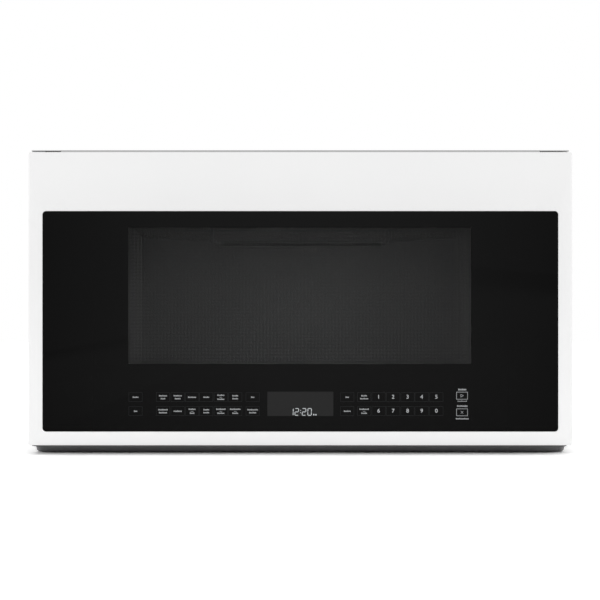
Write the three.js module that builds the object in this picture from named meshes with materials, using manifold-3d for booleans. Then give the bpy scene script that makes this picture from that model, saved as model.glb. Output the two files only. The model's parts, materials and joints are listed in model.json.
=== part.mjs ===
// Over-the-range microwave oven with convection and grill, as separate pieces.
// Millimetres. The wall is the plane y = 0, the front faces -Y, +X is right and +Z is up.
// The origin is the middle of the wall plate's back, at half the cabinet's height.

import * as THREE from 'three';
import { mergeVertices } from 'three/addons/utils/BufferGeometryUtils.js';
import { ConvexGeometry } from 'three/addons/geometries/ConvexGeometry.js';
import Module from 'manifold-3d';

const wasm = await Module();
wasm.setup();

// ---------------------------------------------------------------- driving dimensions

const gridSteps = 1000;             // grid steps in a millimetre
const fit = 0.3;                    // clearance between neighbouring pieces
const past = 1;                     // how far a cutting tool or a joined lump passes a face
const cabinetWidth = 759;
const cabinetHeight = 428;
const cabinetDepth = 356;           // wall to the face of the front frame
const steel = 1.2;                  // cabinet and cavity sheet
const sideBay = 105;                // space beside the cavity, left and right
const topBay = 88.3;                // space over the cavity
const bottomBay = 97;               // space under the cavity
const rearGap = 11;                 // space behind the cavity

const plateSheet = 2;
const plateMargin = 30;             // cabinet's edge to the wall plate's edge
const plateWeb = 40;
const plateScrewRadius = 3.5;
const hookWidth = 60;
const hookSpacing = 400;
const hookReach = 10;
const hookRise = 12;
const hookLevel = 42;               // hook's underside over the cabinet's bottom
const hookSideGap = 1;

const panSheet = 1.5;
const panHeight = 16;
const panChamferSide = 8.5;
const panChamferHeight = 10;
const panBendLift = 0.9;            // inside corner of a bend over the outside one
const filterDepth = 130;
const filterThickness = 6;
const filterInset = 30;             // middle of the cabinet to a grease filter
const filterMargin = 13.8;          // grease filter to the transformer
const filterFront = 100;            // front frame's face to a filter's front edge
const dropGap = 3;                  // opening's rear edge to a filter or lens that tips down
const filterTab = 12;
const lampLength = 90;
const lampDepth = 44;
const lampFront = 34;               // front frame's face to the lens
const lensThickness = 2;
const lampHolderMargin = 4;
const lampHolderWall = 4;
const lampHolderHeight = 10;
const lampHolderRoof = 2;

const topOverhang = 25;             // cabinet's top past the front frame, over the door
const grilleMargin = 42;            // cabinet's side to the grille's end
const grilleDepth = 66;
const grilleHeight = 18;
const grilleSheet = 2.5;
const grilleSlots = 16;
const slotBar = 8;
const slotRows = 2;
const filterLip = 6;
const charcoalThickness = 10;

const bevelDepth = 40;              // drawn-in bevel round the cavity's back wall
const bevelSide = 16;
const bevelHeight = 19.5;
const flangeWidth = 14;

const doorGap = 2;
const doorThickness = 46;
const doorTopStep = 4.6;            // door's top edge under the cabinet's top
const baseBand = 14;                // base pan showing under the door
const doorWall = 3;
const doorCornerRadius = 3;
const glassThickness = 4;
const glassMarginSide = 19.9;
const glassMarginTop = 82.7;
const glassMarginBottom = 19.5;
const glassCornerRadius = 5;
const ledgeWidth = 8;
const ledgeThickness = 2.5;
const windowMarginSide = 120.2;     // glass edge to the window
const windowMarginTop = 21.9;
const controlStripHeight = 93.3;    // glass bottom to the window

const chokeWidth = 22;
const chokeDepth = 14;
const chokeOverlap = 7;             // front frame's aperture to the choke's inner wall
const chokeCoverThickness = 2;
const islandStep = 3;               // window flange in front of the choke wall's edge
const screenSheet = 0.8;
const screenMargin = 12;
const innerWindowThickness = 2.4;
const touchBoardWidth = 600;
const touchBoardHeight = 72;
const boardThickness = 1.6;
const displayWidth = 92;
const displayHeight = 34;
const displayDepth = 12;
const displayRise = 58;             // middle of the display over the door's bottom edge

const cupHeight = 120;
const cupDepth = 24;
const cupWidth = 21;
const cupWall = 2;
const cupSetBack = 8;               // glass line to the cup's front wall

const pinInset = 7;                 // door's left edge to the hinge pin
const pinSetBack = 18;              // door's back face to the hinge pin
const pinRadius = 2.5;
const pinLength = 11;
const hingeSheet = 2.5;
const hingeLegHeight = 40;
const hingeArmWidth = 18;
const hingeArmMargin = 2.2;         // pin to the arm's front edge
const bossMargin = 5;

const latchInset = 37.5;            // door's right edge to the latch lever
const leverWidth = 8;
const leverThickness = 5;
const leverOverrun = 15;
const hookHalfSpacing = 60;
const latchHookWidth = 6;
const latchHookGap = 1;
const latchHookHeight = 12;
const latchHookReach = 16;
const latchNoseDrop = 4;
const latchNoseLength = 5;
const latchTravel = 5;
const latchSlotClearance = 3;
const springRadius = 3.2;
const springWire = 0.5;
const springTurns = 8;
const springLength = 30;
const springTab = 6;

const latchBoardDepth = 24;
const latchBoardMargin = 30;
const latchBoardWidth = 30;
const switchWidth = 10;
const switchHeight = 28;
const switchDepth = 15;
const buttonSize = 3;
const buttonOffset = 2.4;           // hook's middle to the button of a paired switch

const trayClearance = 8;            // tray's rim to the cavity's bevelled back
const trayThickness = 5;
const trayRimHeight = 9;
const trayFlatInset = 24;
const trayLip = 2;
const trayBend = 3;
const bevelAtTray = 12;             // bevel's reach into the cavity at the tray's level
const rollerRadius = 6.7;
const rollerWidth = 5;
const rollerTrack = 100;            // turntable's axis to the middle of a roller
const rollerCount = 3;
const ringHeight = 4;
const ringWidth = 6;
const axleRadius = 1.6;
const axleGap = 0.4;
const hubRadius = 16;
const lobeRadius = 5.4;
const lobeOffset = 8;
const hubLobes = 3;
const hubSocket = 2;
const shaftRadius = 3.5;
const turntableMotorRadius = 25;
const turntableMotorHeight = 16;
const motorEar = 12;

const blowerRear = 62;              // cabinet's back to the blower's axis
const blowerSpace = 72.1;           // cavity's side to the blower's end
const blowerMouth = 200;            // blower's axis to its mouth
const wheelGap = 8;                 // blower housing to the wheels
const wheelEndGap = 8;
const wheelInset = 55;              // middle of the blower to a wheel's inner end
const wheelBlades = 12;
const wheelHubRadius = 10;
const wheelHubLength = 14;
const wheelDisc = 2;
const wheelRim = 3;
const scrollSteps = 12;
const bladeSheet = 1.2;
const bladeChord = 5;
const bladeInset = 0.6;
const inletRadius = 27;
const blowerShaftRadius = 4;
const blowerShaftReach = 18;        // shaft's end inside a wheel
const blowerMotorRadius = 28;
const blowerMotorHalf = 38;
const motorFoot = 30;

const convectionRear = 186;         // cabinet's back to the convection fan's axis
const convectionRise = 14;          // convection axis over the origin
const convectionOpening = 82;
const convectionCoverMargin = 9;
const coverSheet = 1;
const holeRings = 2;
const holeRingPitch = 25;
const holesPerRing = 6;             // in the first ring, and so many more in each next
const convectionHoleRadius = 7;
const convectionDepth = 44;
const convectionRadius = 90;
const heaterRadius = 76;
const heaterTube = 3.3;
const heaterGapAngle = 0.35;        // half of the heater's opening, in radians
const heaterSteps = 24;
const heaterTail = 10;
const fanRadius = 60;
const fanDepth = 20;
const fanBlades = 8;
const fanHubRadius = 7.5;
const fanClearance = 4;
const fanShaftReach = 20;
const fanShaftRadius = 3;
const fanShaftGap = 3;
const convectionMotorRadius = 30;
const motorSpace = 12;              // a motor's end to the cabinet's side

const grillHalfLength = 130;
const grillHalfDepth = 105;
const grillDrop = 32;               // grill tube under the cavity's ceiling
const grillTube = 3.2;
const grillBend = 18;
const grillTail = 12;

const guideDepth = 20;              // waveguide's reach from the cavity's side
const guideLength = 110;
const guideHeight = 84;
const portLength = 80;
const portHeight = 36;
const guideRear = 130;              // cabinet's back to the waveguide
const micaThickness = 1;
const micaMargin = 8;
const magnetronLength = 60;
const magnetronDepth = 70;
const magnetronFins = 6;
const magnetronPlate = 2;
const magnetronFin = 1;
const magnetronCoreRadius = 17.5;
const magnetronBoxDepth = 49;
const magnetronBoxHeight = 50.4;
const magnetronBoxGap = 6.4;        // its box to the cabinet's side
const antennaRadius = 7;
const antennaGap = 2;
const antennaReach = 15;
const coolingFanSize = 88;
const coolingFanDepth = 24;
const coolingFanWall = 3;
const coolingFanBlades = 5;
const coolingFanRear = 90;
const coolingHubRadius = 14;
const coolingHubInset = 3;
const coolingBladeSheet = 2;
const coolingBladeWidth = 18;
const coolingBladeTilt = 0.6;       // radians
const coolingTipGap = 2;
const coolingStrut = 3;
const coolingStrutHeight = 12;

const coreWidth = 84;
const coreDepth = 60;
const coreHeight = 70;
const coreLimb = 14;
const coreWindow = 17.5;            // each side of the middle limb
const transformerRear = 150;
const capacitorWidth = 50;
const capacitorDepth = 32;
const capacitorHeight = 70;
const capacitorRadius = 12;
const capacitorFront = 60;          // front frame's face to its middle
const terminalHeight = 8;
const terminalWidth = 8;
const terminalSheet = 3;
const boardDepth = 130;
const boardHeight = 76;
const boardStandoff = 14;
const postRadius = 3;
const postInset = 8;
const partLap = 0.5;                // how deep a mounted part reaches into its board
const relayHeight = 22;
const relayLength = 24;
const relayWidth = 20;
const relayInset = 14;
const sinkHeight = 26;
const sinkSheet = 8;
const sinkLength = 44;
const sinkInset = 60;
const partRise = 12;
const filterBoardSize = 56;
const filterBoardRear = 29;
const lineCoilRadius = 12;
const lineCoilHeight = 16;
const bushingRadius = 14;
const bushingBore = 6;
const bushingRear = 120;
const bushingFlange = 4;
const bushingFlangeHeight = 3;
const boltHoleRadius = 5;
const boltInset = 90;
const boltRear = 230;
const cavityLampRadius = 9;
const cavityLampFlange = 8;
const cavityLampSeat = 4;
const cavityLampCap = 16;

// ---------------------------------------------------------------- derived planes and levels

const halfWidth = cabinetWidth / 2;
const top = cabinetHeight / 2;
const bottom = -top;
const wrapInside = halfWidth - steel;
const rearFace = -plateSheet - fit;
const frameFace = -cabinetDepth;
const frameBack = frameFace + steel;
const topFront = frameFace - topOverhang;
const panTop = bottom + panHeight;
const grilleBottom = top - grilleHeight;
const grilleHalf = halfWidth - grilleMargin;
const doorTop = top - doorTopStep;
const doorBottom = bottom + baseBand;
const doorHeight = doorTop - doorBottom;
const doorMiddle = (doorTop + doorBottom) / 2;

const cavityHalf = wrapInside - sideBay - steel;
const cavityFloor = bottom + panSheet + bottomBay + steel;
const cavityCeiling = top - steel - topBay - steel;
const cavityHeight = cavityCeiling - cavityFloor;
const cavityMiddle = (cavityCeiling + cavityFloor) / 2;
const shellFront = frameBack + fit;
const cavityBack = rearFace - steel - rearGap - steel;
const bevelStart = cavityBack - bevelDepth;
const shellOutside = cavityHalf + steel;
const bayMiddle = shellOutside + sideBay / 2;
const bushingPlace = halfWidth - sideBay / 2;
const bayFloor = bottom + panSheet + fit;
const blowerHalf = cavityHalf - blowerSpace;
const filterLength = bayMiddle - coreWidth / 2 - filterMargin - filterInset;
const filterCentre = filterInset + filterLength / 2;
const through = ([low, high]) => [low - past, high + past];

// ---------------------------------------------------------------- helpers

const about = (middle, size) => [middle - size / 2, middle + size / 2];
const after = (start, length) => [start, start + length];
const before = (end, length) => [end - length, end];
const circle = (count) => Array.from({ length: count }, (_, index) => (2 * Math.PI * index) / count);

// A block that fills one [low, high] span along each of X, Y and Z.
function block([x0, x1], [y0, y1], [z0, z1]) {
  const box = new THREE.BoxGeometry(x1 - x0, y1 - y0, z1 - z0);
  return box.translate((x0 + x1) / 2, (y0 + y1) / 2, (z0 + z1) / 2);
}

// A rectangle with optional round corners, as a list of its corner points.
function rectangle([u0, u1], [v0, v1], radius = 0) {
  if (radius === 0) {
    return [[u0, v0], [u1, v0], [u1, v1], [u0, v1]];
  }
  const corners = [
    [u1 - radius, v0 + radius, -0.5],
    [u1 - radius, v1 - radius, 0],
    [u0 + radius, v1 - radius, 0.5],
    [u0 + radius, v0 + radius, 1],
  ];
  return corners.flatMap(([u, v, turn]) => [0, 0.25, 0.5].map((step) => {
    const angle = (turn + step) * Math.PI;
    return [u + radius * Math.cos(angle), v + radius * Math.sin(angle)];
  }));
}

const ring = (u, v, radius, count) => (
  circle(count).map((angle) => [u + radius * Math.cos(angle), v + radius * Math.sin(angle)])
);

// A flat outline, drawn across an axis and filled between two planes on that axis.
// It is drawn in (y, z) across x, in (x, z) across y and in (x, y) across z.
function slab(axis, [from, to], outline) {
  const shape = new THREE.Shape(outline.map(([u, v]) => new THREE.Vector2(u, v)));
  const solid = new THREE.ExtrudeGeometry(shape, { depth: to - from, bevelEnabled: false });
  if (axis === 'x') {
    const turn = new THREE.Matrix4().makeBasis(
      new THREE.Vector3(0, 1, 0),
      new THREE.Vector3(0, 0, 1),
      new THREE.Vector3(1, 0, 0),
    );
    return solid.applyMatrix4(turn).translate(from, 0, 0);
  }
  if (axis === 'y') {
    return solid.rotateX(Math.PI / 2).translate(0, to, 0);
  }
  return solid.translate(0, 0, from);
}

// The same with holes through it.
function layer(axis, [from, to], outline, holes = []) {
  const solid = slab(axis, [from, to], outline);
  if (holes.length === 0) {
    return solid;
  }
  return cut(solid, ...holes.map((hole) => slab(axis, through([from, to]), hole)));
}

// A flat ring between two rectangles, both about the same middle.
function frame(axis, span, [u, v], [outerU, outerV], [innerU, innerV], radius = 0) {
  const outside = rectangle(about(u, outerU), about(v, outerV), radius);
  return layer(axis, span, outside, [rectangle(about(u, innerU), about(v, innerV))]);
}

function alongAxis(geometry, axis) {
  if (axis === 'x') {
    return geometry.rotateZ(-Math.PI / 2);
  }
  return axis === 'z' ? geometry.rotateX(Math.PI / 2) : geometry;
}

// A profile of [radius, height] points turned about an axis through the local origin.
function turned(axis, profile, sides = 24) {
  const points = profile.map(([radius, height]) => new THREE.Vector2(radius, height));
  return alongAxis(new THREE.LatheGeometry(points, sides), axis);
}

const rod = (axis, radius, [from, to], sides = 16) => (
  turned(axis, [[0, from], [radius, from], [radius, to], [0, to]], sides)
);

const tube = (axis, outer, inner, [from, to], sides = 24) => (
  turned(axis, [[inner, from], [outer, from], [outer, to], [inner, to], [inner, from]], sides)
);

// A round bar along a path of corner points with rounded bends.
function bentRod(corners, bend, radius, sides, steps) {
  const points = corners.map((corner) => new THREE.Vector3(...corner));
  const path = new THREE.CurvePath();
  let start = points[0];
  for (let index = 1; index < points.length - 1; index += 1) {
    const corner = points[index];
    const entry = points[index - 1].clone().sub(corner).setLength(bend).add(corner);
    const exit = points[index + 1].clone().sub(corner).setLength(bend).add(corner);
    path.add(new THREE.LineCurve3(start, entry));
    path.add(new THREE.QuadraticBezierCurve3(entry, corner, exit));
    start = exit;
  }
  path.add(new THREE.LineCurve3(start, points[points.length - 1]));
  return sweep(path, radius, sides, steps);
}

function sweep(path, radius, sides, steps) {
  const section = new THREE.Shape(ring(0, 0, radius, sides).map(([u, v]) => new THREE.Vector2(u, v)));
  return new THREE.ExtrudeGeometry(section, { steps, extrudePath: path, bevelEnabled: false });
}

// Corners are set on a fine grid, so that planes meant to be one plane are exactly one.
function toManifold(geometry) {
  const bare = new THREE.BufferGeometry();
  const corners = geometry.getAttribute('position').array.map((value) => (
    Math.round(value * gridSteps) / gridSteps
  ));
  bare.setAttribute('position', new THREE.BufferAttribute(corners, 3));
  bare.setIndex(geometry.getIndex());
  const merged = mergeVertices(bare);
  return new wasm.Manifold(new wasm.Mesh({
    numProp: 3,
    vertProperties: merged.getAttribute('position').array,
    triVerts: Uint32Array.from(merged.getIndex().array),
  }));
}

function fromManifold(manifold) {
  const mesh = manifold.getMesh();
  const geometry = new THREE.BufferGeometry();
  geometry.setAttribute('position', new THREE.BufferAttribute(mesh.vertProperties, 3));
  geometry.setIndex(new THREE.BufferAttribute(mesh.triVerts, 1));
  return geometry;
}

const join = (first, ...others) => fromManifold(
  others.reduce((whole, other) => whole.add(toManifold(other)), toManifold(first)),
);

const cut = (first, ...others) => fromManifold(
  others.reduce((whole, other) => whole.subtract(toManifold(other)), toManifold(first)),
);

// ---------------------------------------------------------------- finishes

const finish = (color, roughness, metalness) => ({ color, roughness, metalness });
const whiteEnamel = finish(0xefefef, 0.35, 0);
const lightGrey = finish(0xc3c3c3, 0.5, 0);
const charcoal = finish(0x3f3f3f, 0.5, 0.1);
const galvanised = finish(0xa8abad, 0.4, 0.8);
const blackGlass = finish(0x161616, 0.08, 0);
const cavityGrey = finish(0x6e6e6e, 0.45, 0.1);
const darkPlastic = finish(0x1c1c1c, 0.5, 0);
const whitePlastic = finish(0xdedede, 0.5, 0);
const bareSteel = finish(0x8d8f92, 0.35, 0.9);
const aluminium = finish(0xb9bcbe, 0.35, 0.9);
const copper = finish(0xa8622e, 0.4, 0.8);
const board = finish(0x245a38, 0.5, 0);
const clearGlass = finish(0xcfdedd, 0.05, 0);
const mica = finish(0xb8a98a, 0.5, 0);
const carbon = finish(0x26282a, 0.9, 0);

function piece(group, name, geometry, look) {
  const mesh = new THREE.Mesh(geometry, new THREE.MeshStandardMaterial(look));
  mesh.name = name;
  group.add(mesh);
  return mesh;
}

const oven = new THREE.Group();

function section(x = 0, y = 0, z = 0) {
  const group = new THREE.Group();
  group.position.set(x, y, z);
  oven.add(group);
  return group;
}

// ---------------------------------------------------------------- wall plate and cabinet

const hookBase = bottom + hookLevel;
const hookPlaces = [-hookSpacing / 2, hookSpacing / 2];

function wallPlate() {
  const width = cabinetWidth - 2 * plateMargin;
  const height = 2 * (top - plateMargin);
  const windowWidth = (width - 3 * plateWeb) / 2;
  const windowHeight = (height - 3 * plateWeb) / 2;
  const windows = [];
  const screws = [];
  for (const side of [-1, 1]) {
    for (const level of [-1, 1]) {
      const u = (side * (windowWidth + plateWeb)) / 2;
      const v = (level * (windowHeight + plateWeb)) / 2;
      windows.push(rectangle(about(u, windowWidth), about(v, windowHeight)));
      const screwX = (side * hookSpacing) / 4;
      screws.push(ring(screwX, (level * (height - plateWeb)) / 2, plateScrewRadius, 10));
    }
  }
  const outline = rectangle(about(0, width), about(0, height));
  const plate = layer('y', [-plateSheet, 0], outline, [...windows, ...screws]);
  const hooks = hookPlaces.flatMap((x) => {
    const span = about(x, hookWidth);
    const reach = [-plateSheet - hookReach, -plateSheet / 2];
    const lip = after(-plateSheet - hookReach, plateSheet);
    return [
      block(span, reach, after(hookBase, plateSheet)),
      block(span, lip, after(hookBase, hookRise)),
      block(span, [-plateSheet, 0], after(hookBase, hookRise)),
    ];
  });
  return join(plate, ...hooks);
}

function rearPanel() {
  const half = wrapInside - fit;
  const slots = hookPlaces.map((x) => rectangle(
    about(x, hookWidth + 2 * hookSideGap),
    before(hookBase + plateSheet + fit, hookRise + plateSheet),
  ));
  const outline = rectangle([-half, half], [panTop + fit, top - steel - fit]);
  return layer('y', before(rearFace, steel), outline, slots);
}

// Two sides and a top that reaches over the door; the top is notched for the vent grille.
function outerWrap() {
  const length = [frameFace, rearFace];
  const sides = [-1, 1].map((side) => (
    block(about(side * (halfWidth - steel / 2), steel), length, [panTop + fit, top])
  ));
  const notch = grilleHalf + fit;
  const notchEnd = frameFace + grilleDepth + fit;
  const outline = [
    [-halfWidth, topFront], [-notch, topFront], [-notch, notchEnd], [notch, notchEnd],
    [notch, topFront], [halfWidth, topFront], [halfWidth, rearFace], [-halfWidth, rearFace],
  ];
  const holes = [-1, 1].map((side) => ring(side * (halfWidth - boltInset), -boltRear, boltHoleRadius, 16));
  holes.push(ring(bushingPlace, -bushingRear, bushingRadius + fit, 20));
  return join(layer('z', before(top, steel), outline, holes), ...sides);
}

function cordBushing() {
  const seat = top - steel - fit;
  const flangeSpan = before(seat, bushingFlangeHeight);
  const flange = tube('z', bushingRadius + bushingFlange, bushingBore, flangeSpan, 20);
  const collar = tube('z', bushingRadius, bushingBore, [flangeSpan[0], top - fit], 20);
  return join(flange, collar);
}

const filterSpanY = after(frameFace + filterFront, filterDepth);
const filterOpeningY = [filterSpanY[0] - fit, filterSpanY[1] + dropGap];
const lampSpanY = after(frameFace + lampFront, lampDepth);
const lampOpeningY = [lampSpanY[0] - fit, lampSpanY[1] + dropGap];

function basePan() {
  const outline = [
    [-halfWidth, panTop], [-halfWidth, bottom + panChamferHeight],
    [-halfWidth + panChamferSide, bottom], [halfWidth - panChamferSide, bottom],
    [halfWidth, bottom + panChamferHeight], [halfWidth, panTop],
  ];
  const side = halfWidth - panSheet;
  const flat = halfWidth - panChamferSide - panBendLift;
  const bend = bottom + panChamferHeight + panBendLift;
  const inside = [
    [side, panTop + past], [side, bend], [flat, bottom + panSheet],
    [-flat, bottom + panSheet], [-side, bend], [-side, panTop + past],
  ];
  const floor = through([bottom, bottom + panSheet]);
  const openings = [-filterCentre, filterCentre].map((x) => (
    block(about(x, filterLength + 2 * fit), filterOpeningY, floor)
  ));
  openings.push(block(about(0, lampLength + 2 * fit), lampOpeningY, floor));
  const armNotch = block(
    after(-halfWidth + steel, hingeArmWidth + 2 * fit),
    through([frameFace, frameFace + panSheet]),
    [lowerArm[0] - fit, panTop + past],
  );
  return cut(
    layer('y', [frameFace, rearFace], outline),
    layer('y', [frameFace + panSheet, rearFace - panSheet], inside),
    ...openings,
    armNotch,
  );
}

// A framed panel that lies in an opening of the base pan.
function greaseFilter(side) {
  const x = side * filterCentre;
  const z = after(bottom, filterThickness);
  const panel = block(about(x, filterLength), filterSpanY, z);
  const pocket = block(
    about(x, 2 * filterTab),
    after(filterSpanY[0] + filterTab / 2, filterTab),
    [bottom - past, bottom + filterThickness / 2],
  );
  return cut(panel, pocket);
}

const lampLens = () => block(about(0, lampLength), lampSpanY, after(bottom, lensThickness));

function cooktopLamp() {
  const middle = (lampOpeningY[0] + lampOpeningY[1]) / 2;
  const inner = [lampLength, lampOpeningY[1] - lampOpeningY[0]].map((size) => size + 2 * lampHolderMargin);
  const outer = inner.map((size) => size + 2 * lampHolderWall);
  const walls = after(bayFloor, lampHolderHeight);
  return join(
    frame('z', walls, [0, middle], outer, inner),
    block(about(0, outer[0]), about(middle, outer[1]), after(walls[1], lampHolderRoof)),
  );
}

// ---------------------------------------------------------------- front frame and vent

const latchX = halfWidth - latchInset;
const hookLevels = [-hookHalfSpacing, hookHalfSpacing];
const slotHalfWidth = latchHookWidth / 2 + latchSlotClearance;
const slotSpan = (level) => [
  doorMiddle + level - latchHookHeight / 2 - latchNoseDrop - fit,
  doorMiddle + level + latchHookHeight / 2 + latchTravel + fit,
];

function frontFrame() {
  const half = wrapInside - fit;
  const outline = [
    [-half, panTop + fit], [half, panTop + fit], [half, doorTop], [grilleHalf + fit, doorTop],
    [grilleHalf + fit, grilleBottom - fit], [-grilleHalf - fit, grilleBottom - fit],
    [-grilleHalf - fit, doorTop], [-half, doorTop],
  ];
  const aperture = rectangle([-cavityHalf, cavityHalf], [cavityFloor, cavityCeiling]);
  const slots = hookLevels.map((level) => rectangle(about(latchX, 2 * slotHalfWidth), slotSpan(level)));
  return layer('y', [frameFace, frameBack], outline, [aperture, ...slots]);
}

// A C-shaped channel with slots in its top and a nose that reaches over the door.
// The charcoal filter lies on the channel's lips.
function ventGrille() {
  const back = frameFace + grilleDepth;
  const channel = [
    [frameFace, grilleBottom], [frameFace + filterLip, grilleBottom],
    [frameFace + filterLip, grilleBottom + grilleSheet / 2],
    [frameFace + grilleSheet, grilleBottom + grilleSheet / 2],
    [frameFace + grilleSheet, top - grilleSheet], [back - grilleSheet, top - grilleSheet],
    [back - grilleSheet, grilleBottom + grilleSheet / 2],
    [back - filterLip, grilleBottom + grilleSheet / 2],
    [back - filterLip, grilleBottom], [back, grilleBottom], [back, top], [topFront, top],
    [topFront, doorTop + fit], [frameFace, doorTop + fit],
  ];
  const pitch = (2 * grilleHalf - slotBar) / grilleSlots;
  const rowPitch = (grilleDepth - slotBar) / slotRows;
  const slots = [];
  for (let row = 0; row < slotRows; row += 1) {
    for (let column = 0; column < grilleSlots; column += 1) {
      const x = -grilleHalf + slotBar + column * pitch;
      const y = frameFace + slotBar + row * rowPitch;
      slots.push(block(
        after(x, pitch - slotBar),
        after(y, rowPitch - slotBar),
        through([top - grilleSheet, top]),
      ));
    }
  }
  return cut(layer('x', [-grilleHalf, grilleHalf], channel), ...slots);
}

function charcoalFilter() {
  const inset = grilleSheet + fit;
  return block(
    [-grilleHalf, grilleHalf],
    [frameFace + inset, frameFace + grilleDepth - inset],
    after(grilleBottom + grilleSheet / 2 + fit, charcoalThickness),
  );
}

// ---------------------------------------------------------------- oven cavity

// The cavity's section at a depth, drawn in from the full one by a bevel.
function sectionAt(y, side, height) {
  const u = [-cavityHalf + side, cavityHalf - side];
  const v = [cavityFloor + height, cavityCeiling - height];
  return rectangle(u, v).map(([x, z]) => new THREE.Vector3(x, y, z));
}

const convectionY = -convectionRear;
const guideY = [-guideRear - guideLength, -guideRear];
const guideMiddleY = (guideY[0] + guideY[1]) / 2;
const turntableY = (frameFace + cavityBack - bevelAtTray) / 2;
const grillY = (frameFace + cavityBack) / 2;
const grillEnds = [-grillHalfLength, grillHalfLength];
const grillTailY = grillY - grillHalfDepth;
const cavityLampX = cavityHalf - blowerSpace / 2;

// The straight wrapper of the cavity with its front flange.
function cavityShell() {
  const wrapper = frame(
    'y', [shellFront, bevelStart - fit], [0, cavityMiddle],
    [2 * shellOutside, cavityHeight + 2 * steel], [2 * cavityHalf, cavityHeight],
  );
  const flange = frame(
    'y', after(shellFront, steel), [0, cavityMiddle],
    [2 * (cavityHalf + flangeWidth), cavityHeight + 2 * flangeWidth],
    [2 * cavityHalf, cavityHeight],
  );
  const leftWall = through([-shellOutside, -cavityHalf]);
  const rightWall = through([cavityHalf, shellOutside]);
  const ceiling = through([cavityCeiling, cavityCeiling + steel]);
  const floor = through([cavityFloor - steel, cavityFloor]);
  return cut(
    join(wrapper, flange),
    rod('x', convectionOpening, leftWall, 32).translate(0, convectionY, convectionRise),
    block(rightWall, about(guideMiddleY, portLength), about(cavityMiddle, portHeight)),
    ...grillEnds.map((x) => rod('z', grillTube + fit, ceiling, 12).translate(x, grillTailY, 0)),
    rod('z', cavityLampRadius, ceiling, 16).translate(cavityLampX, grillY, 0),
    rod('z', shaftRadius + fit, floor, 16).translate(0, turntableY, 0),
  );
}

// The drawn back wall: a flat middle and four bevels that meet the wrapper.
function cavityBackPan() {
  const outside = new ConvexGeometry([
    ...sectionAt(bevelStart, -steel, -steel),
    ...sectionAt(cavityBack + steel, bevelSide - steel, bevelHeight - steel),
  ]);
  const inside = new ConvexGeometry([
    ...sectionAt(bevelStart - past, 0, 0),
    ...sectionAt(bevelStart, 0, 0),
    ...sectionAt(cavityBack, bevelSide, bevelHeight),
  ]);
  return cut(outside, inside);
}

function grillElement() {
  const level = cavityCeiling - grillDrop;
  const tail = cavityCeiling + steel + grillTail;
  const far = grillY + grillHalfDepth;
  return bentRod([
    [-grillHalfLength, grillTailY, tail], [-grillHalfLength, grillTailY, level],
    [-grillHalfLength, far, level], [grillHalfLength, far, level],
    [grillHalfLength, grillTailY, level], [grillHalfLength, grillTailY, tail],
  ], grillBend, grillTube, 6, 48);
}

function cavityLamp() {
  const level = cavityCeiling + steel + fit;
  const radius = cavityLampRadius + cavityLampFlange;
  const seat = tube('z', radius, cavityLampRadius, after(level, cavityLampSeat), 20);
  const cap = rod('z', radius, after(level + cavityLampSeat, cavityLampCap), 20);
  return join(seat, cap);
}

// ---------------------------------------------------------------- turntable

const rollerLevel = rollerRadius + fit;             // roller axis over the cavity's floor
const trayLevel = rollerLevel + rollerRadius + fit; // tray's underside over the floor
const trayRadius = (cavityBack - bevelAtTray - frameFace) / 2 - trayClearance;
const hubTop = trayLevel - fit;

function turntableMotor() {
  const lid = before(-steel - fit, steel);
  const can = before(lid[1], turntableMotorHeight);
  const ears = cut(
    block(about(0, 2 * (turntableMotorRadius + motorEar)), about(0, motorEar), lid),
    rod('z', shaftRadius + fit, through(lid), 24),
  );
  return join(tube('z', turntableMotorRadius, shaftRadius + fit, can), ears);
}

function coupler() {
  const hub = rod('z', hubRadius, [fit, hubTop - hubSocket]);
  const lobes = circle(hubLobes).map((angle) => (
    rod('z', lobeRadius, [fit, hubTop], 12).translate(
      lobeOffset * Math.cos(angle), lobeOffset * Math.sin(angle), 0,
    )
  ));
  return join(hub, rod('z', shaftRadius, [-turntableMotorHeight, fit + past]), ...lobes);
}

const ringRadius = rollerTrack - rollerWidth / 2 - axleGap - ringWidth / 2;
const rollerAngles = circle(rollerCount);

function rollerRing() {
  const band = tube(
    'z', ringRadius + ringWidth / 2, ringRadius - ringWidth / 2,
    about(rollerLevel, ringHeight), 36,
  );
  const axles = rollerAngles.map((angle) => (
    rod('x', axleRadius, [ringRadius, rollerTrack + rollerWidth / 2 + axleGap], 10)
      .translate(0, 0, rollerLevel)
      .rotateZ(angle)
  ));
  return join(band, ...axles);
}

const roller = () => tube('x', rollerRadius, axleRadius + fit, about(0, rollerWidth), 20);

function glassTray() {
  const flat = trayRadius - trayFlatInset;
  const rise = trayRimHeight;
  return turned('z', [
    [0, 0], [flat, 0], [trayRadius, rise - trayLip / 2], [trayRadius, rise + trayLip / 2],
    [trayRadius - trayLip, rise + trayLip], [flat - trayBend, trayThickness], [0, trayThickness],
  ], 48);
}

// ---------------------------------------------------------------- convection set

// Local origin on the axis, at the cavity's inner left wall; +X points into the cavity.
function convectionCover() {
  const holes = [[0, 0]];
  for (let step = 1; step <= holeRings; step += 1) {
    for (const angle of circle(step * holesPerRing)) {
      holes.push([step * holeRingPitch * Math.cos(angle), step * holeRingPitch * Math.sin(angle)]);
    }
  }
  const radius = convectionOpening + convectionCoverMargin;
  const outline = ring(0, 0, radius, 32);
  const openings = holes.map(([u, v]) => ring(u, v, convectionHoleRadius, 6));
  return layer('x', after(fit, coverSheet), outline, openings);
}

const housingMouth = -steel - fit;
const housingBack = housingMouth - convectionDepth;
const heaterTails = [-1, 1].map((side) => [
  heaterRadius * Math.sin(side * heaterGapAngle),
  -heaterRadius * Math.cos(side * heaterGapAngle),
]);

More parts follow.
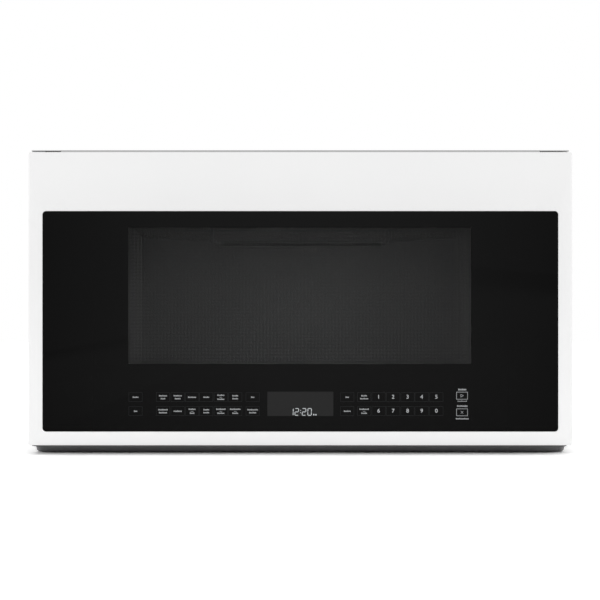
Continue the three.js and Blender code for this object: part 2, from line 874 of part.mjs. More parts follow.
function convectionHousing() {
  const inner = convectionRadius - steel;
  const bore = fanShaftRadius + fanShaftGap;
  const dish = turned('x', [
    [bore, housingBack], [convectionRadius, housingBack], [convectionRadius, housingMouth - steel],
    [convectionRadius + flangeWidth, housingMouth - steel], [convectionRadius + flangeWidth, housingMouth],
    [inner, housingMouth], [inner, housingBack + steel], [bore, housingBack + steel], [bore, housingBack],
  ], 32);
  const tails = heaterTails.map(([y, z]) => (
    rod('x', heaterTube + fit, through([housingBack, housingBack + steel]), 12).translate(0, y, z)
  ));
  return cut(dish, ...tails);
}

// A ring heater, open at the bottom, whose two tails leave through the housing's back.
function convectionHeater() {
  const plane = (housingMouth + housingBack) / 2;
  const points = [];
  for (let index = 0; index <= heaterSteps; index += 1) {
    const angle = -heaterGapAngle - (index / heaterSteps) * 2 * (Math.PI - heaterGapAngle);
    points.push(new THREE.Vector3(
      plane, heaterRadius * Math.sin(angle), -heaterRadius * Math.cos(angle),
    ));
  }
  const straight = [housingBack - heaterTail, housingBack, housingBack + heaterTail];
  const leg = (point) => straight.map((x) => new THREE.Vector3(x, point.y, point.z));
  const path = new THREE.CatmullRomCurve3([
    ...leg(points[0]), ...points.slice(1, heaterSteps), ...leg(points[heaterSteps]).reverse(),
  ]);
  return sweep(path, heaterTube, 6, 48);
}

function convectionFan() {
  const back = housingBack + steel + fanClearance;
  const disc = rod('x', fanRadius, after(back, steel), 24);
  const hub = rod('x', fanHubRadius, after(back, fanDepth), 16);
  const shaft = rod('x', fanShaftRadius, [housingBack - fanShaftReach, back + past]);
  const blades = circle(fanBlades).map((angle) => (
    block(after(back, fanDepth), [fanShaftRadius, fanRadius], about(0, bladeSheet)).rotateX(angle)
  ));
  return join(disc, hub, shaft, ...blades);
}

function convectionMotor() {
  const front = housingBack - fit;
  const end = -steel - sideBay + motorSpace;
  return tube('x', convectionMotorRadius, fanShaftRadius + fit, [end, front], 24);
}

// ---------------------------------------------------------------- microwave source

const guideStart = shellOutside + fit;
const guideEnd = guideStart + guideDepth;
const magnetronStart = guideEnd + fit;

function waveguide() {
  const z = about(cavityMiddle, guideHeight);
  const inset = ([low, high]) => [low + steel, high - steel];
  return cut(
    block([guideStart, guideEnd], guideY, z),
    block([guideStart + steel, guideEnd - steel], inset(guideY), inset(z)),
    block(
      through([guideStart, guideStart + steel]),
      about(guideMiddleY, portLength),
      about(cavityMiddle, portHeight),
    ),
    rod('x', antennaRadius + antennaGap, through([guideEnd - steel, guideEnd]), 16)
      .translate(0, guideMiddleY, cavityMiddle),
  );
}

const waveguideCover = () => block(
  before(cavityHalf - fit, micaThickness),
  about(guideMiddleY, portLength + 2 * micaMargin),
  about(cavityMiddle, portHeight + 2 * micaMargin),
);

function magnetron() {
  const y = about(guideMiddleY, magnetronDepth);
  const z = about(cavityMiddle, guideHeight);
  const end = magnetronStart + magnetronLength;
  const ends = ([low, high]) => [after(low, magnetronPlate), before(high, magnetronPlate)];
  const walls = ends([magnetronStart, end]).map((x) => block(x, y, z));
  const sides = ends(z).map((span) => block([magnetronStart, end], y, span));
  const pitch = magnetronLength / (magnetronFins + 1);
  const fins = Array.from({ length: magnetronFins }, (_, index) => (
    block(about(magnetronStart + (index + 1) * pitch, magnetronFin), y, z)
  ));
  const core = rod('x', magnetronCoreRadius, [magnetronStart, end], 16);
  const antenna = rod('x', antennaRadius, [guideEnd - antennaReach, magnetronStart + past], 12);
  const box = block(
    [end - past, wrapInside - magnetronBoxGap],
    about(guideMiddleY, magnetronBoxDepth),
    about(cavityMiddle, magnetronBoxHeight),
  );
  return join(
    ...walls, ...sides, ...fins,
    core.translate(0, guideMiddleY, cavityMiddle),
    antenna.translate(0, guideMiddleY, cavityMiddle),
    box,
  );
}

const coolingFanX = guideStart + coolingFanSize / 2;
const coolingFanY = [-coolingFanRear - coolingFanDepth, -coolingFanRear];

// Local origin on the fan's axis, at the frame's rear face; the fan blows towards the front.
function coolingFanFrame() {
  const half = coolingFanSize / 2;
  const depth = [-coolingFanDepth, 0];
  const shroud = layer(
    'y', depth, rectangle([-half, half], [-half, half]),
    [ring(0, 0, half - coolingFanWall, 28)],
  );
  const strut = block([-half + past, half - past], before(0, coolingStrut), about(0, coolingStrutHeight));
  const pin = rod('y', shaftRadius, [-coolingFanDepth + coolingHubInset, -past], 12);
  return join(shroud, strut, pin);
}

function coolingFan() {
  const span = [-coolingFanDepth + coolingHubInset, -coolingStrut - past];
  const hub = tube('y', coolingHubRadius, shaftRadius + fit, span, 20);
  const tip = coolingFanSize / 2 - coolingFanWall - coolingTipGap;
  const blades = circle(coolingFanBlades).map((angle) => (
    block([coolingHubRadius - past, tip], about(0, coolingBladeSheet), about(0, coolingBladeWidth))
      .rotateX(coolingBladeTilt)
      .translate(0, (span[0] + span[1]) / 2, 0)
      .rotateY(angle)
  ));
  const bore = rod('y', shaftRadius + fit, through(span), 20);
  return cut(join(hub, ...blades), bore);
}

// ---------------------------------------------------------------- power parts in the right bay

const transformerY = -transformerRear - coreDepth / 2;

function transformerCore() {
  const x = about(bayMiddle, coreWidth);
  const z = after(bayFloor, coreHeight);
  const windows = [-1, 1].map((side) => rectangle(
    about(bayMiddle + (side * (coreLimb + coreWindow)) / 2, coreWindow),
    [z[0] + coreLimb, z[1] - coreLimb],
  ));
  return layer('y', about(transformerY, coreDepth), rectangle(x, z), windows);
}

// A winding round the core's middle limb, through both windows.
function transformerCoil() {
  const z = [bayFloor + coreLimb + fit, bayFloor + coreHeight - coreLimb - fit];
  const wound = coreWindow - 2 * fit;
  const inner = [coreLimb + 2 * fit, coreDepth + 2 * fit];
  return frame('z', z, [bayMiddle, transformerY], inner.map((size) => size + 2 * wound), inner);
}

const capacitorY = frameFace + capacitorFront;

function capacitor() {
  const can = layer(
    'z', after(bayFloor, capacitorHeight),
    rectangle(about(bayMiddle, capacitorWidth), about(capacitorY, capacitorDepth), capacitorRadius),
  );
  const terminals = [-1, 1].map((side) => block(
    about(bayMiddle + (side * capacitorWidth) / 4, terminalSheet),
    about(capacitorY, terminalWidth),
    after(bayFloor + capacitorHeight - past, terminalHeight),
  ));
  return join(can, ...terminals);
}

// A circuit board on four posts that reach the cabinet's right side.
function powerBoard() {
  const y = [frameBack + latchBoardDepth, frameBack + latchBoardDepth + boardDepth];
  const z = before(top - steel - grilleHeight, boardHeight);
  const face = wrapInside - fit - boardStandoff;
  const plate = block(before(face, boardThickness), y, z);
  const posts = [];
  for (const side of [y[0] + postInset, y[1] - postInset]) {
    for (const level of [z[0] + postInset, z[1] - postInset]) {
      posts.push(rod('x', postRadius, [face - past, face + boardStandoff], 8).translate(0, side, level));
    }
  }
  const seat = face - boardThickness + partLap;
  const rise = z[0] + partRise;
  return join(
    plate,
    ...posts,
    block(before(seat, relayHeight), after(y[0] + relayInset, relayLength), after(rise, relayWidth)),
    block(before(seat, sinkHeight), after(y[0] + sinkInset, sinkSheet), after(rise, sinkLength)),
  );
}

function filterBoard() {
  const level = top - steel - fit - boardStandoff;
  const y = before(-filterBoardRear, filterBoardSize);
  const x = about(bayMiddle, filterBoardSize);
  const plate = block(x, y, before(level, boardThickness));
  const middle = (y[0] + y[1]) / 2;
  const posts = [x[0] + postInset, x[1] - postInset].map((side) => (
    rod('z', postRadius, [level - past, level + boardStandoff], 8).translate(side, middle, 0)
  ));
  const coilSpan = before(level - boardThickness + partLap, lineCoilHeight);
  return join(plate, ...posts, rod('z', lineCoilRadius, coilSpan, 16).translate(bayMiddle, middle, 0));
}

// ---------------------------------------------------------------- blower

const blowerY = -blowerRear;
const housingRadius = topBay / 2 - fit;
const blowerZ = cavityCeiling + steel + topBay / 2;
const wheelRadius = housingRadius - steel - wheelGap;
const wheelSpan = [wheelInset, blowerHalf - steel - wheelEndGap];

// Points of a U-shaped section that is round at the back and open at the mouth.
function scroll(radius, mouth) {
  const arc = Array.from({ length: scrollSteps + 1 }, (_, index) => {
    const angle = Math.PI / 2 - (Math.PI * index) / scrollSteps;
    return [radius * Math.cos(angle), radius * Math.sin(angle)];
  });
  return [[-mouth, radius], ...arc, [-mouth, -radius]];
}

function blowerHousing() {
  const outside = scroll(housingRadius, blowerMouth);
  const inside = scroll(housingRadius - steel, blowerMouth + past);
  const duct = layer('x', [-blowerHalf, blowerHalf], outside);
  const hollow = layer('x', [-blowerHalf + steel, blowerHalf - steel], inside);
  const inlet = rod('x', inletRadius, through([-blowerHalf, blowerHalf]), 24);
  return cut(duct, hollow, inlet);
}

// The motor stands on a foot on the housing's floor; the rotor's shaft runs through its bore.
function blowerMotor() {
  const floor = -housingRadius + steel + fit;
  const length = [-blowerMotorHalf, blowerMotorHalf];
  const can = rod('x', blowerMotorRadius, length, 24);
  const foot = block(about(0, motorFoot), [-motorFoot / 2, 0], [floor, -blowerMotorRadius / 2]);
  const bore = rod('x', blowerShaftRadius + fit, through(length), 16);
  return cut(join(can, foot), bore);
}

function blowerWheel(side) {
  const [inner, outer] = wheelSpan;
  const bore = blowerShaftRadius + fit;
  const hub = tube('x', wheelHubRadius, bore, after(inner, wheelHubLength), 16);
  const disc = tube('x', wheelRadius, bore, after(inner, wheelDisc), 24);
  const rim = tube('x', wheelRadius, wheelRadius - bladeChord, before(outer, wheelRim), 24);
  const radial = [wheelRadius - bladeChord + bladeInset, wheelRadius - bladeInset];
  const blades = circle(wheelBlades).map((angle) => (
    block([inner + past, outer - past], radial, about(0, bladeSheet)).rotateX(angle)
  ));
  const wheel = join(hub, disc, rim, ...blades);
  return side > 0 ? wheel : wheel.rotateZ(Math.PI);
}

const blowerShaft = () => rod('x', blowerShaftRadius, about(0, 2 * (wheelInset + blowerShaftReach)));

// ---------------------------------------------------------------- hinges and latch board

const pinX = -halfWidth + pinInset;
const pinY = frameFace - doorGap - pinSetBack;
const upperArm = after(doorTop + fit, hingeSheet);
const lowerArm = before(doorBottom - fit, hingeSheet);

// A leg behind the front frame, an arm that passes its edge, and the pin that carries the door.
function hinge(arm, legSpan, pinSpan) {
  const x = after(-wrapInside + fit, hingeArmWidth);
  const legBack = frameFace + panSheet + fit + hingeSheet;
  const plate = block(x, [pinY - pinRadius - hingeArmMargin, legBack], arm);
  const leg = block(x, before(legBack, hingeSheet), legSpan);
  const pin = rod('z', pinRadius, pinSpan, 24).translate(pinX, pinY, 0);
  return join(plate, leg, pin);
}

const hingeUpper = () => hinge(
  upperArm,
  [upperArm[1] - hingeLegHeight, upperArm[1]],
  [doorTop - pinLength, upperArm[1]],
);

const hingeLower = () => hinge(
  lowerArm,
  after(lowerArm[0], hingeLegHeight),
  [lowerArm[0], doorBottom + pinLength],
);

const latchBoardY = after(frameBack + fit, latchBoardDepth);

function latchBoard() {
  const body = block(
    about(latchX, latchBoardWidth),
    latchBoardY,
    about(doorMiddle, 2 * (hookHalfSpacing + latchBoardMargin)),
  );
  const tunnels = hookLevels.map((level) => block(
    about(latchX, 2 * slotHalfWidth), through(latchBoardY), slotSpan(level),
  ));
  return cut(body, ...tunnels);
}

// The button reaches the end of a closed door's hook. Paired switches stand left and right of it.
function latchSwitch(side, level) {
  const x = latchX + side * (switchWidth / 2 + fit);
  const z = doorMiddle + level;
  const face = latchBoardY[1] + fit;
  const hookEnd = frameFace - doorGap + latchHookReach;
  const buttonX = latchX + side * buttonOffset;
  return join(
    block(about(x, switchWidth), after(face, switchDepth), about(z, switchHeight)),
    block(about(buttonX, buttonSize), [hookEnd + fit, face + past], about(z, buttonSize)),
  );
}

// ---------------------------------------------------------------- door

// Local origin at the middle of the door's back face, which is the plane y = 0.
const doorFront = -doorThickness;
const glassBack = doorFront + glassThickness;
const glassWidth = cabinetWidth - 2 * glassMarginSide;
const glassHeight = doorHeight - glassMarginTop - glassMarginBottom;
const glassZ = (glassMarginBottom - glassMarginTop) / 2;
const windowZ = [
  glassZ - glassHeight / 2 + controlStripHeight,
  glassZ + glassHeight / 2 - windowMarginTop,
];
const windowWidth = glassWidth - 2 * windowMarginSide;
const doorSpanZ = about(0, doorHeight);
const bossDepth = pinLength + bossMargin;
const cupX = before(halfWidth, cupDepth);
const cupY = after(doorFront + cupSetBack, cupWidth);

function doorFrame() {
  const outline = rectangle([-halfWidth, halfWidth], doorSpanZ, doorCornerRadius);
  const insideHalf = halfWidth - doorWall;
  const inside = rectangle([-insideHalf, insideHalf], about(0, doorHeight - 2 * doorWall));
  const opening = rectangle(
    about(0, glassWidth + 2 * fit), about(glassZ, glassHeight + 2 * fit), glassCornerRadius,
  );
  const ledge = rectangle(
    about(0, glassWidth - 2 * ledgeWidth), about(glassZ, glassHeight - 2 * ledgeWidth),
  );
  const ledgeFront = glassBack + fit;
  const pinLocalY = pinY - (frameFace - doorGap);
  const bosses = [-1, 1].map((end) => {
    const edge = end * doorHeight / 2;
    const span = end > 0 ? before(edge, bossDepth) : after(edge, bossDepth);
    const boss = block(
      [-halfWidth, pinX + pinRadius + bossMargin],
      about(pinLocalY, 2 * (pinRadius + bossMargin)),
      span,
    );
    const depth = pinLength + fit;
    const bore = end > 0 ? [edge - depth, edge + past] : [edge - past, edge + depth];
    return { boss, bore: rod('z', pinRadius + fit, bore, 24).translate(pinX, pinLocalY, 0) };
  });
  const walls = join(
    layer('y', [doorFront, ledgeFront], outline, [opening]),
    layer('y', [ledgeFront, ledgeFront + ledgeThickness], outline, [ledge]),
    layer('y', [ledgeFront + ledgeThickness, 0], outline, [inside]),
    ...bosses.map(({ boss }) => boss),
  );
  const recess = block(
    [cupX[0], halfWidth + past],
    [cupY[0] - fit, cupY[1] + fit],
    about(0, cupHeight + 2 * fit),
  );
  return cut(walls, ...bosses.map(({ bore }) => bore), recess);
}

const doorGlass = () => layer(
  'y', [doorFront, glassBack],
  rectangle(about(0, glassWidth), about(glassZ, glassHeight), glassCornerRadius - fit),
);

const chokeInner = [2 * (cavityHalf + chokeOverlap), cavityHeight + 2 * chokeOverlap];
const chokeOuter = chokeInner.map((size) => size + 2 * chokeWidth);
const chokeAt = [0, cavityMiddle - doorMiddle];
const grown = (sizes, by) => sizes.map((size) => size + by);
const panelHalf = halfWidth - doorWall - fit;
const leverSpan = about(0, 2 * (hookHalfSpacing + leverOverrun));
const springSpan = before(leverSpan[0] - fit, springLength);
const leverY = before(-steel - fit, leverThickness);

// Back plate, the choke groove round the window, and the flange that holds the window.
function doorInnerPanel() {
  const grooveFloor = after(-chokeDepth, steel);
  const plateHole = rectangle(about(chokeAt[0], chokeOuter[0]), about(chokeAt[1], chokeOuter[1]));
  const slots = hookLevels.map((level) => (
    rectangle(about(latchX, latchHookWidth + 2 * latchHookGap), slotSpan(level).map((z) => z - doorMiddle))
  ));
  const plate = layer(
    'y', [-steel, 0],
    rectangle([-panelHalf, panelHalf], about(0, doorHeight - 2 * (doorWall + fit))),
    [plateHole, ...slots],
  );
  const windowOpening = rectangle(about(0, windowWidth), windowZ);
  const flangeOutline = rectangle(about(chokeAt[0], chokeInner[0]), about(chokeAt[1], chokeInner[1]));
  const tab = block(
    about(latchX, springTab),
    [leverY[0], -steel / 2],
    before(springSpan[0] - fit, steel),
  );
  const notchX = [-panelHalf - past, pinX + pinRadius + bossMargin + fit];
  const notchStart = doorHeight / 2 - bossDepth - fit;
  return cut(
    join(
      plate,
      frame('y', [-chokeDepth, 0], chokeAt, grown(chokeOuter, 2 * steel), chokeOuter),
      frame('y', grooveFloor, chokeAt, chokeOuter, chokeInner),
      frame('y', [-chokeDepth, 0], chokeAt, chokeInner, grown(chokeInner, -2 * steel)),
      layer('y', before(-islandStep, steel), flangeOutline, [windowOpening]),
      tab,
    ),
    block(notchX, through([-steel, 0]), [notchStart, doorHeight / 2]),
    block(notchX, through([-steel, 0]), [-doorHeight / 2, -notchStart]),
  );
}

const windowScreen = () => block(
  about(0, windowWidth + 2 * screenMargin),
  before(-islandStep - steel - fit, screenSheet),
  [windowZ[0] - screenMargin, windowZ[1] + screenMargin],
);

function innerWindow() {
  const [width, height] = grown(chokeInner, -2 * (steel + fit));
  return block(
    about(chokeAt[0], width),
    after(-islandStep + fit, innerWindowThickness),
    about(chokeAt[1], height),
  );
}

const chokeCover = () => frame(
  'y', before(-fit, chokeCoverThickness), chokeAt, grown(chokeOuter, -2 * fit), grown(chokeInner, 2 * fit),
);

const displayZ = -doorHeight / 2 + displayRise;
const boardFront = glassBack + fit;

function touchBoard() {
  const low = glassZ - glassHeight / 2 + ledgeWidth + fit;
  const outline = rectangle(about(0, touchBoardWidth), after(low, touchBoardHeight));
  const window = rectangle(about(0, displayWidth + 2 * fit), about(displayZ, displayHeight + 2 * fit));
  return layer('y', after(boardFront, boardThickness), outline, [window]);
}

const displayModule = () => block(
  about(0, displayWidth), after(boardFront, displayDepth), about(displayZ, displayHeight),
);

function handleCup() {
  const z = about(0, cupHeight);
  const inside = block(
    [cupX[0] + cupWall, halfWidth + past],
    [cupY[0] + cupWall, cupY[1] - cupWall],
    [z[0] + cupWall, z[1] - cupWall],
  );
  return cut(block([cupX[0] + fit, halfWidth], cupY, z), inside);
}

// An upright bar with two hooks that pass through the inner panel into the latch board.
function latchLever() {
  const bar = block(about(latchX, leverWidth), leverY, leverSpan);
  const hooks = hookLevels.flatMap((level) => {
    const x = about(latchX, latchHookWidth);
    const z = about(level, latchHookHeight);
    return [
      block(x, [leverY[0] + past, latchHookReach], z),
      block(x, before(latchHookReach, latchNoseLength), [z[0] - latchNoseDrop, z[1]]),
    ];
  });
  return join(bar, ...hooks);
}

// A spring under the lever, wound as one wire.
function latchSpring() {
  class Coil extends THREE.Curve {
    getPoint(along, target = new THREE.Vector3()) {
      const angle = 2 * Math.PI * springTurns * along;
      const rise = springLength - 2 * springWire;
      return target.set(
        springRadius * Math.cos(angle),
        springRadius * Math.sin(angle),
        springWire + rise * along,
      );
    }
  }
  const middleY = (leverY[0] + leverY[1]) / 2;
  const coil = sweep(new Coil(), springWire, 5, springTurns * 8);
  return coil.translate(latchX, middleY - springRadius / 2, springSpan[0]);
}

const springGap = (springLength - 2 * springWire) / springTurns - 2 * springWire;
console.log(`latch spring: least gap between turns ${springGap.toFixed(2)} mm`);

// ---------------------------------------------------------------- assembly

const cabinet = section();
piece(cabinet, 'wall_plate', wallPlate(), galvanised);
piece(cabinet, 'rear_panel', rearPanel(), galvanised);
piece(cabinet, 'outer_wrap', outerWrap(), lightGrey);
piece(cabinet, 'base_pan', basePan(), charcoal);
piece(cabinet, 'front_frame', frontFrame(), lightGrey);
piece(cabinet, 'vent_grille', ventGrille(), lightGrey);
piece(cabinet, 'charcoal_filter', charcoalFilter(), carbon);
piece(cabinet, 'cord_bushing', cordBushing().translate(bushingPlace, -bushingRear, 0), darkPlastic);
piece(cabinet, 'grease_filter_left', greaseFilter(-1), aluminium);
piece(cabinet, 'grease_filter_right', greaseFilter(1), aluminium);
piece(cabinet, 'lamp_lens', lampLens(), clearGlass);
piece(cabinet, 'cooktop_lamp', cooktopLamp(), whitePlastic);
piece(cabinet, 'cavity_shell', cavityShell(), cavityGrey);
piece(cabinet, 'cavity_back', cavityBackPan(), cavityGrey);
piece(cabinet, 'grill_element', grillElement(), bareSteel);
piece(cabinet, 'cavity_lamp', cavityLamp().translate(cavityLampX, grillY, 0), whitePlastic);
piece(cabinet, 'waveguide', waveguide(), galvanised);
piece(cabinet, 'waveguide_cover', waveguideCover(), mica);
piece(cabinet, 'magnetron', magnetron(), aluminium);
piece(cabinet, 'transformer_core', transformerCore(), bareSteel);
piece(cabinet, 'transformer_coil', transformerCoil(), copper);
piece(cabinet, 'capacitor', capacitor(), aluminium);
piece(cabinet, 'power_board', powerBoard(), board);
piece(cabinet, 'filter_board', filterBoard(), board);
piece(cabinet, 'hinge_upper', hingeUpper(), bareSteel);
piece(cabinet, 'hinge_lower', hingeLower(), bareSteel);
piece(cabinet, 'latch_board', latchBoard(), whitePlastic);
piece(cabinet, 'switch_primary', latchSwitch(0, hookHalfSpacing), darkPlastic);
piece(cabinet, 'switch_secondary', latchSwitch(-1, -hookHalfSpacing), darkPlastic);
piece(cabinet, 'switch_monitor', latchSwitch(1, -hookHalfSpacing), darkPlastic);

const turntable = section(0, turntableY, cavityFloor);
piece(turntable, 'turntable_motor', turntableMotor(), bareSteel);
piece(turntable, 'turntable_coupler', coupler(), whitePlastic);
piece(turntable, 'roller_ring', rollerRing(), whitePlastic);
rollerAngles.forEach((angle, index) => {
  const mesh = piece(turntable, `roller_${index + 1}`, roller(), whitePlastic);
  mesh.position.set(rollerTrack * Math.cos(angle), rollerTrack * Math.sin(angle), rollerLevel);
  mesh.rotation.z = angle;
});
piece(turntable, 'glass_tray', glassTray(), clearGlass).position.z = trayLevel;

const convection = section(-cavityHalf, convectionY, convectionRise);
piece(convection, 'convection_cover', convectionCover(), cavityGrey);
piece(convection, 'convection_housing', convectionHousing(), galvanised);
piece(convection, 'convection_heater', convectionHeater(), bareSteel);
piece(convection, 'convection_fan', convectionFan(), aluminium);
piece(convection, 'convection_motor', convectionMotor(), bareSteel);

const cooling = section(coolingFanX, coolingFanY[1], cavityMiddle);
piece(cooling, 'cooling_fan_frame', coolingFanFrame(), darkPlastic);
piece(cooling, 'cooling_fan', coolingFan(), darkPlastic);

const blower = section(0, blowerY, blowerZ);
piece(blower, 'blower_housing', blowerHousing(), galvanised);
piece(blower, 'blower_motor', blowerMotor(), bareSteel);
piece(blower, 'blower_shaft', blowerShaft(), bareSteel);
piece(blower, 'blower_wheel_left', blowerWheel(-1), aluminium);
piece(blower, 'blower_wheel_right', blowerWheel(1), aluminium);

const door = section(0, frameFace - doorGap, doorMiddle);
piece(door, 'door_frame', doorFrame(), whiteEnamel);
piece(door, 'door_glass', doorGlass(), blackGlass);
piece(door, 'door_inner_panel', doorInnerPanel(), charcoal);
piece(door, 'window_screen', windowScreen(), darkPlastic);
piece(door, 'inner_window', innerWindow(), clearGlass);
piece(door, 'choke_cover', chokeCover(), darkPlastic);
piece(door, 'touch_board', touchBoard(), board);
piece(door, 'display_module', displayModule(), darkPlastic);
piece(door, 'handle_cup', handleCup(), darkPlastic);
piece(door, 'latch_lever', latchLever(), whitePlastic);
piece(door, 'latch_spring', latchSpring(), bareSteel);

export default oven;
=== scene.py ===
# %% [markdown]
# # An over-the-range microwave oven, dressed for a picture
# The oven hangs on a wall over a cooktop. A white door with a black glass covers its whole front, and
# touch keys lie under the window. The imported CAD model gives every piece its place, so it is loaded
# first and nothing in it is moved. The scene then covers or replaces its pieces with finer ones.

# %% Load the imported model
import json
import math

import bmesh
import bpy
from mathutils import Matrix, Vector


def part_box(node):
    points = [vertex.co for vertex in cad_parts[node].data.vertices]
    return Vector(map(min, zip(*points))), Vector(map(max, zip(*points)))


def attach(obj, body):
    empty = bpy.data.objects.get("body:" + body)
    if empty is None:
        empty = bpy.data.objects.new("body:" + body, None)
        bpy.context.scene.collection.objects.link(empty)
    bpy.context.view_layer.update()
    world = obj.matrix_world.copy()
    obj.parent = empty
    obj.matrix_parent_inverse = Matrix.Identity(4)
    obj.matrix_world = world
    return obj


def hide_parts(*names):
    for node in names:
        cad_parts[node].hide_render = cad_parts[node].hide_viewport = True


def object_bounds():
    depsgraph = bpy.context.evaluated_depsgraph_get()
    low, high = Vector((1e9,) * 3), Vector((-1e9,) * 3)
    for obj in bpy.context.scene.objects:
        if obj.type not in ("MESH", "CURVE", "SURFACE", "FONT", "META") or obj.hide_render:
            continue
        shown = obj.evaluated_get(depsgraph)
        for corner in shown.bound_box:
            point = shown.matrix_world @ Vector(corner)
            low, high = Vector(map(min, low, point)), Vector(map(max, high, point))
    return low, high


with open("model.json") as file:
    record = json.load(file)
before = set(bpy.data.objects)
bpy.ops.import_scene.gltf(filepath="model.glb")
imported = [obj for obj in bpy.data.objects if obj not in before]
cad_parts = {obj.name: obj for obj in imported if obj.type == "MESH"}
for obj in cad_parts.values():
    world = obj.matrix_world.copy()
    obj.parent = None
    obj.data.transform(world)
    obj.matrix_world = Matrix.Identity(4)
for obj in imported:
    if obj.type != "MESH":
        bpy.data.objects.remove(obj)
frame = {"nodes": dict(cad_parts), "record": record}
cad_box = [list(corner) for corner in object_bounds()]
print("CAD box in metres:", cad_box)

# %% [markdown]
# ## Sizes
# Sheet metal is drawn in millimetres, so the script works in millimetres as well and turns to metres
# only where a mesh is made. A piece that replaces a CAD node takes its spans from that node.

# %% Millimetres
MM = 0.001


def span(node):
    """The lowest and highest x, y and z of a CAD node, in millimetres."""
    low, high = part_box(node)
    return [(low[axis] / MM, high[axis] / MM) for axis in range(3)]


door_x, door_y, door_z = span("door_frame")
glass_x, glass_y, glass_z = span("door_glass")
wrap_x, wrap_y, wrap_z = span("outer_wrap")
print("door", door_x, door_y, door_z)

# %% [markdown]
# ## Plain shapes
# Most of the oven is bent sheet and moulded plastic. A loft through rings of points gives walls with
# rounded edges at the exact place, where a stretched cube would have no edge at all. Holes are taken
# out afterwards, as a press does.

# %% Meshes, blocks, rods and lofts
def mesh_of(points, faces):
    mesh = bpy.data.meshes.new("shape")
    mesh.from_pydata([[value * MM for value in point] for point in points], [], faces)
    return mesh


def outward(mesh):
    """The same mesh with its corners merged and its faces turned outwards."""
    work = bmesh.new()
    work.from_mesh(mesh)
    bmesh.ops.remove_doubles(work, verts=work.verts, dist=2e-7)
    bmesh.ops.recalc_face_normals(work, faces=work.faces)
    work.to_mesh(mesh)
    work.free()
    return mesh


def loft(rings, closed=False):
    """Walls between rings of equally many points, closed into a loop or capped at both ends."""
    count = len(rings[0])
    points = [point for ring in rings for point in ring]
    faces = []
    for level in range(len(rings) if closed else len(rings) - 1):
        low = level * count
        high = (level + 1) % len(rings) * count
        for turn in range(count):
            following = (turn + 1) % count
            faces.append((low + turn, low + following, high + following, high + turn))
    if not closed:
        faces.append(tuple(range(count)))
        faces.append(tuple(range(len(points) - count, len(points))))
    return outward(mesh_of(points, faces))


def block(x, y, z):
    return loft([[(x[0], y[0], level), (x[1], y[0], level), (x[1], y[1], level), (x[0], y[1], level)]
                 for level in z])


def circle(radius, sides, start=0.0):
    return [(radius * math.cos(start + 2 * math.pi * step / sides),
             radius * math.sin(start + 2 * math.pi * step / sides)) for step in range(sides)]


def rod(axis, centre, radius, ends, sides=24):
    """A round bar along an axis; the centre is given in the two other directions."""
    rings = []
    for end in ends:
        ring = []
        for u, v in circle(radius, sides):
            point = [centre[0] + u, centre[1] + v]
            point.insert("xyz".index(axis), end)
            ring.append(point)
        rings.append(ring)
    return loft(rings)


def rounded(x, z, radius, y, steps=6):
    """A rectangle with round corners, upright at a depth y."""
    ring = []
    corners = [(x[1] - radius, z[0] + radius, -90), (x[1] - radius, z[1] - radius, 0),
               (x[0] + radius, z[1] - radius, 90), (x[0] + radius, z[0] + radius, 180)]
    for middle_x, middle_z, start in corners:
        for step in range(steps + 1):
            angle = math.radians(start + 90 * step / steps)
            ring.append((middle_x + radius * math.cos(angle), y, middle_z + radius * math.sin(angle)))
    return ring


def grown(values, by):
    return (values[0] - by, values[1] + by)


def joined(meshes):
    work = bmesh.new()
    for mesh in meshes:
        work.from_mesh(mesh)
    whole = bpy.data.meshes.new("shape")
    work.to_mesh(whole)
    work.free()
    return whole


def settled(host):
    """The mesh that an object's modifiers make; the object itself goes away."""
    bpy.context.view_layer.update()
    shown = host.evaluated_get(bpy.context.evaluated_depsgraph_get())
    mesh = bpy.data.meshes.new_from_object(shown)
    bpy.data.objects.remove(host)
    return mesh


def helper(mesh):
    host = bpy.data.objects.new("helper", mesh)
    bpy.context.collection.objects.link(host)
    return host


def carved(mesh, tools):
    """The mesh with the tools taken out of it."""
    host = helper(mesh)
    tool = helper(joined(tools))
    cut = host.modifiers.new("cut", "BOOLEAN")
    cut.operation = "DIFFERENCE"
    cut.solver = "EXACT"
    cut.object = tool
    result = settled(host)
    bpy.data.objects.remove(tool)
    return result


def copy_of(node):
    """A CAD node's mesh again, with its loose triangles merged into whole flat faces."""
    mesh = frame["nodes"][node].data.copy()
    work = bmesh.new()
    work.from_mesh(mesh)
    bmesh.ops.remove_doubles(work, verts=work.verts, dist=2e-6)
    bmesh.ops.dissolve_limit(work, angle_limit=math.radians(1), verts=work.verts, edges=work.edges)
    work.to_mesh(mesh)
    work.free()
    mesh.materials.clear()
    return mesh


print("a test block has", len(block((0, 1), (0, 1), (0, 1)).polygons), "faces")

# %% [markdown]
# ## Wiring node trees from Python
# A finish or a repeated shape is a tree of small nodes. One class wraps a socket, so that arithmetic
# on it reads like arithmetic and adds Math nodes. Every other node comes from one method that sets
# the node's own settings first and its sockets after them.

# %% A socket that does arithmetic, and the board it lives on
class Wire:
    def __init__(self, board, socket):
        self.board = board
        self.socket = socket

    def __add__(self, other):
        return self.board.math("ADD", self, other)

    def __radd__(self, other):
        return self.board.math("ADD", other, self)

    def __sub__(self, other):
        return self.board.math("SUBTRACT", self, other)

    def __rsub__(self, other):
        return self.board.math("SUBTRACT", other, self)

    def __mul__(self, other):
        return self.board.math("MULTIPLY", self, other)

    def __rmul__(self, other):
        return self.board.math("MULTIPLY", other, self)

    def __truediv__(self, other):
        return self.board.math("DIVIDE", self, other)

    def __pow__(self, other):
        return self.board.math("POWER", self, other)

    def __gt__(self, other):
        return self.board.math("GREATER_THAN", self, other)

    def __lt__(self, other):
        return self.board.math("LESS_THAN", self, other)

    def within(self, low, high):
        return (self > low) * (self < high)


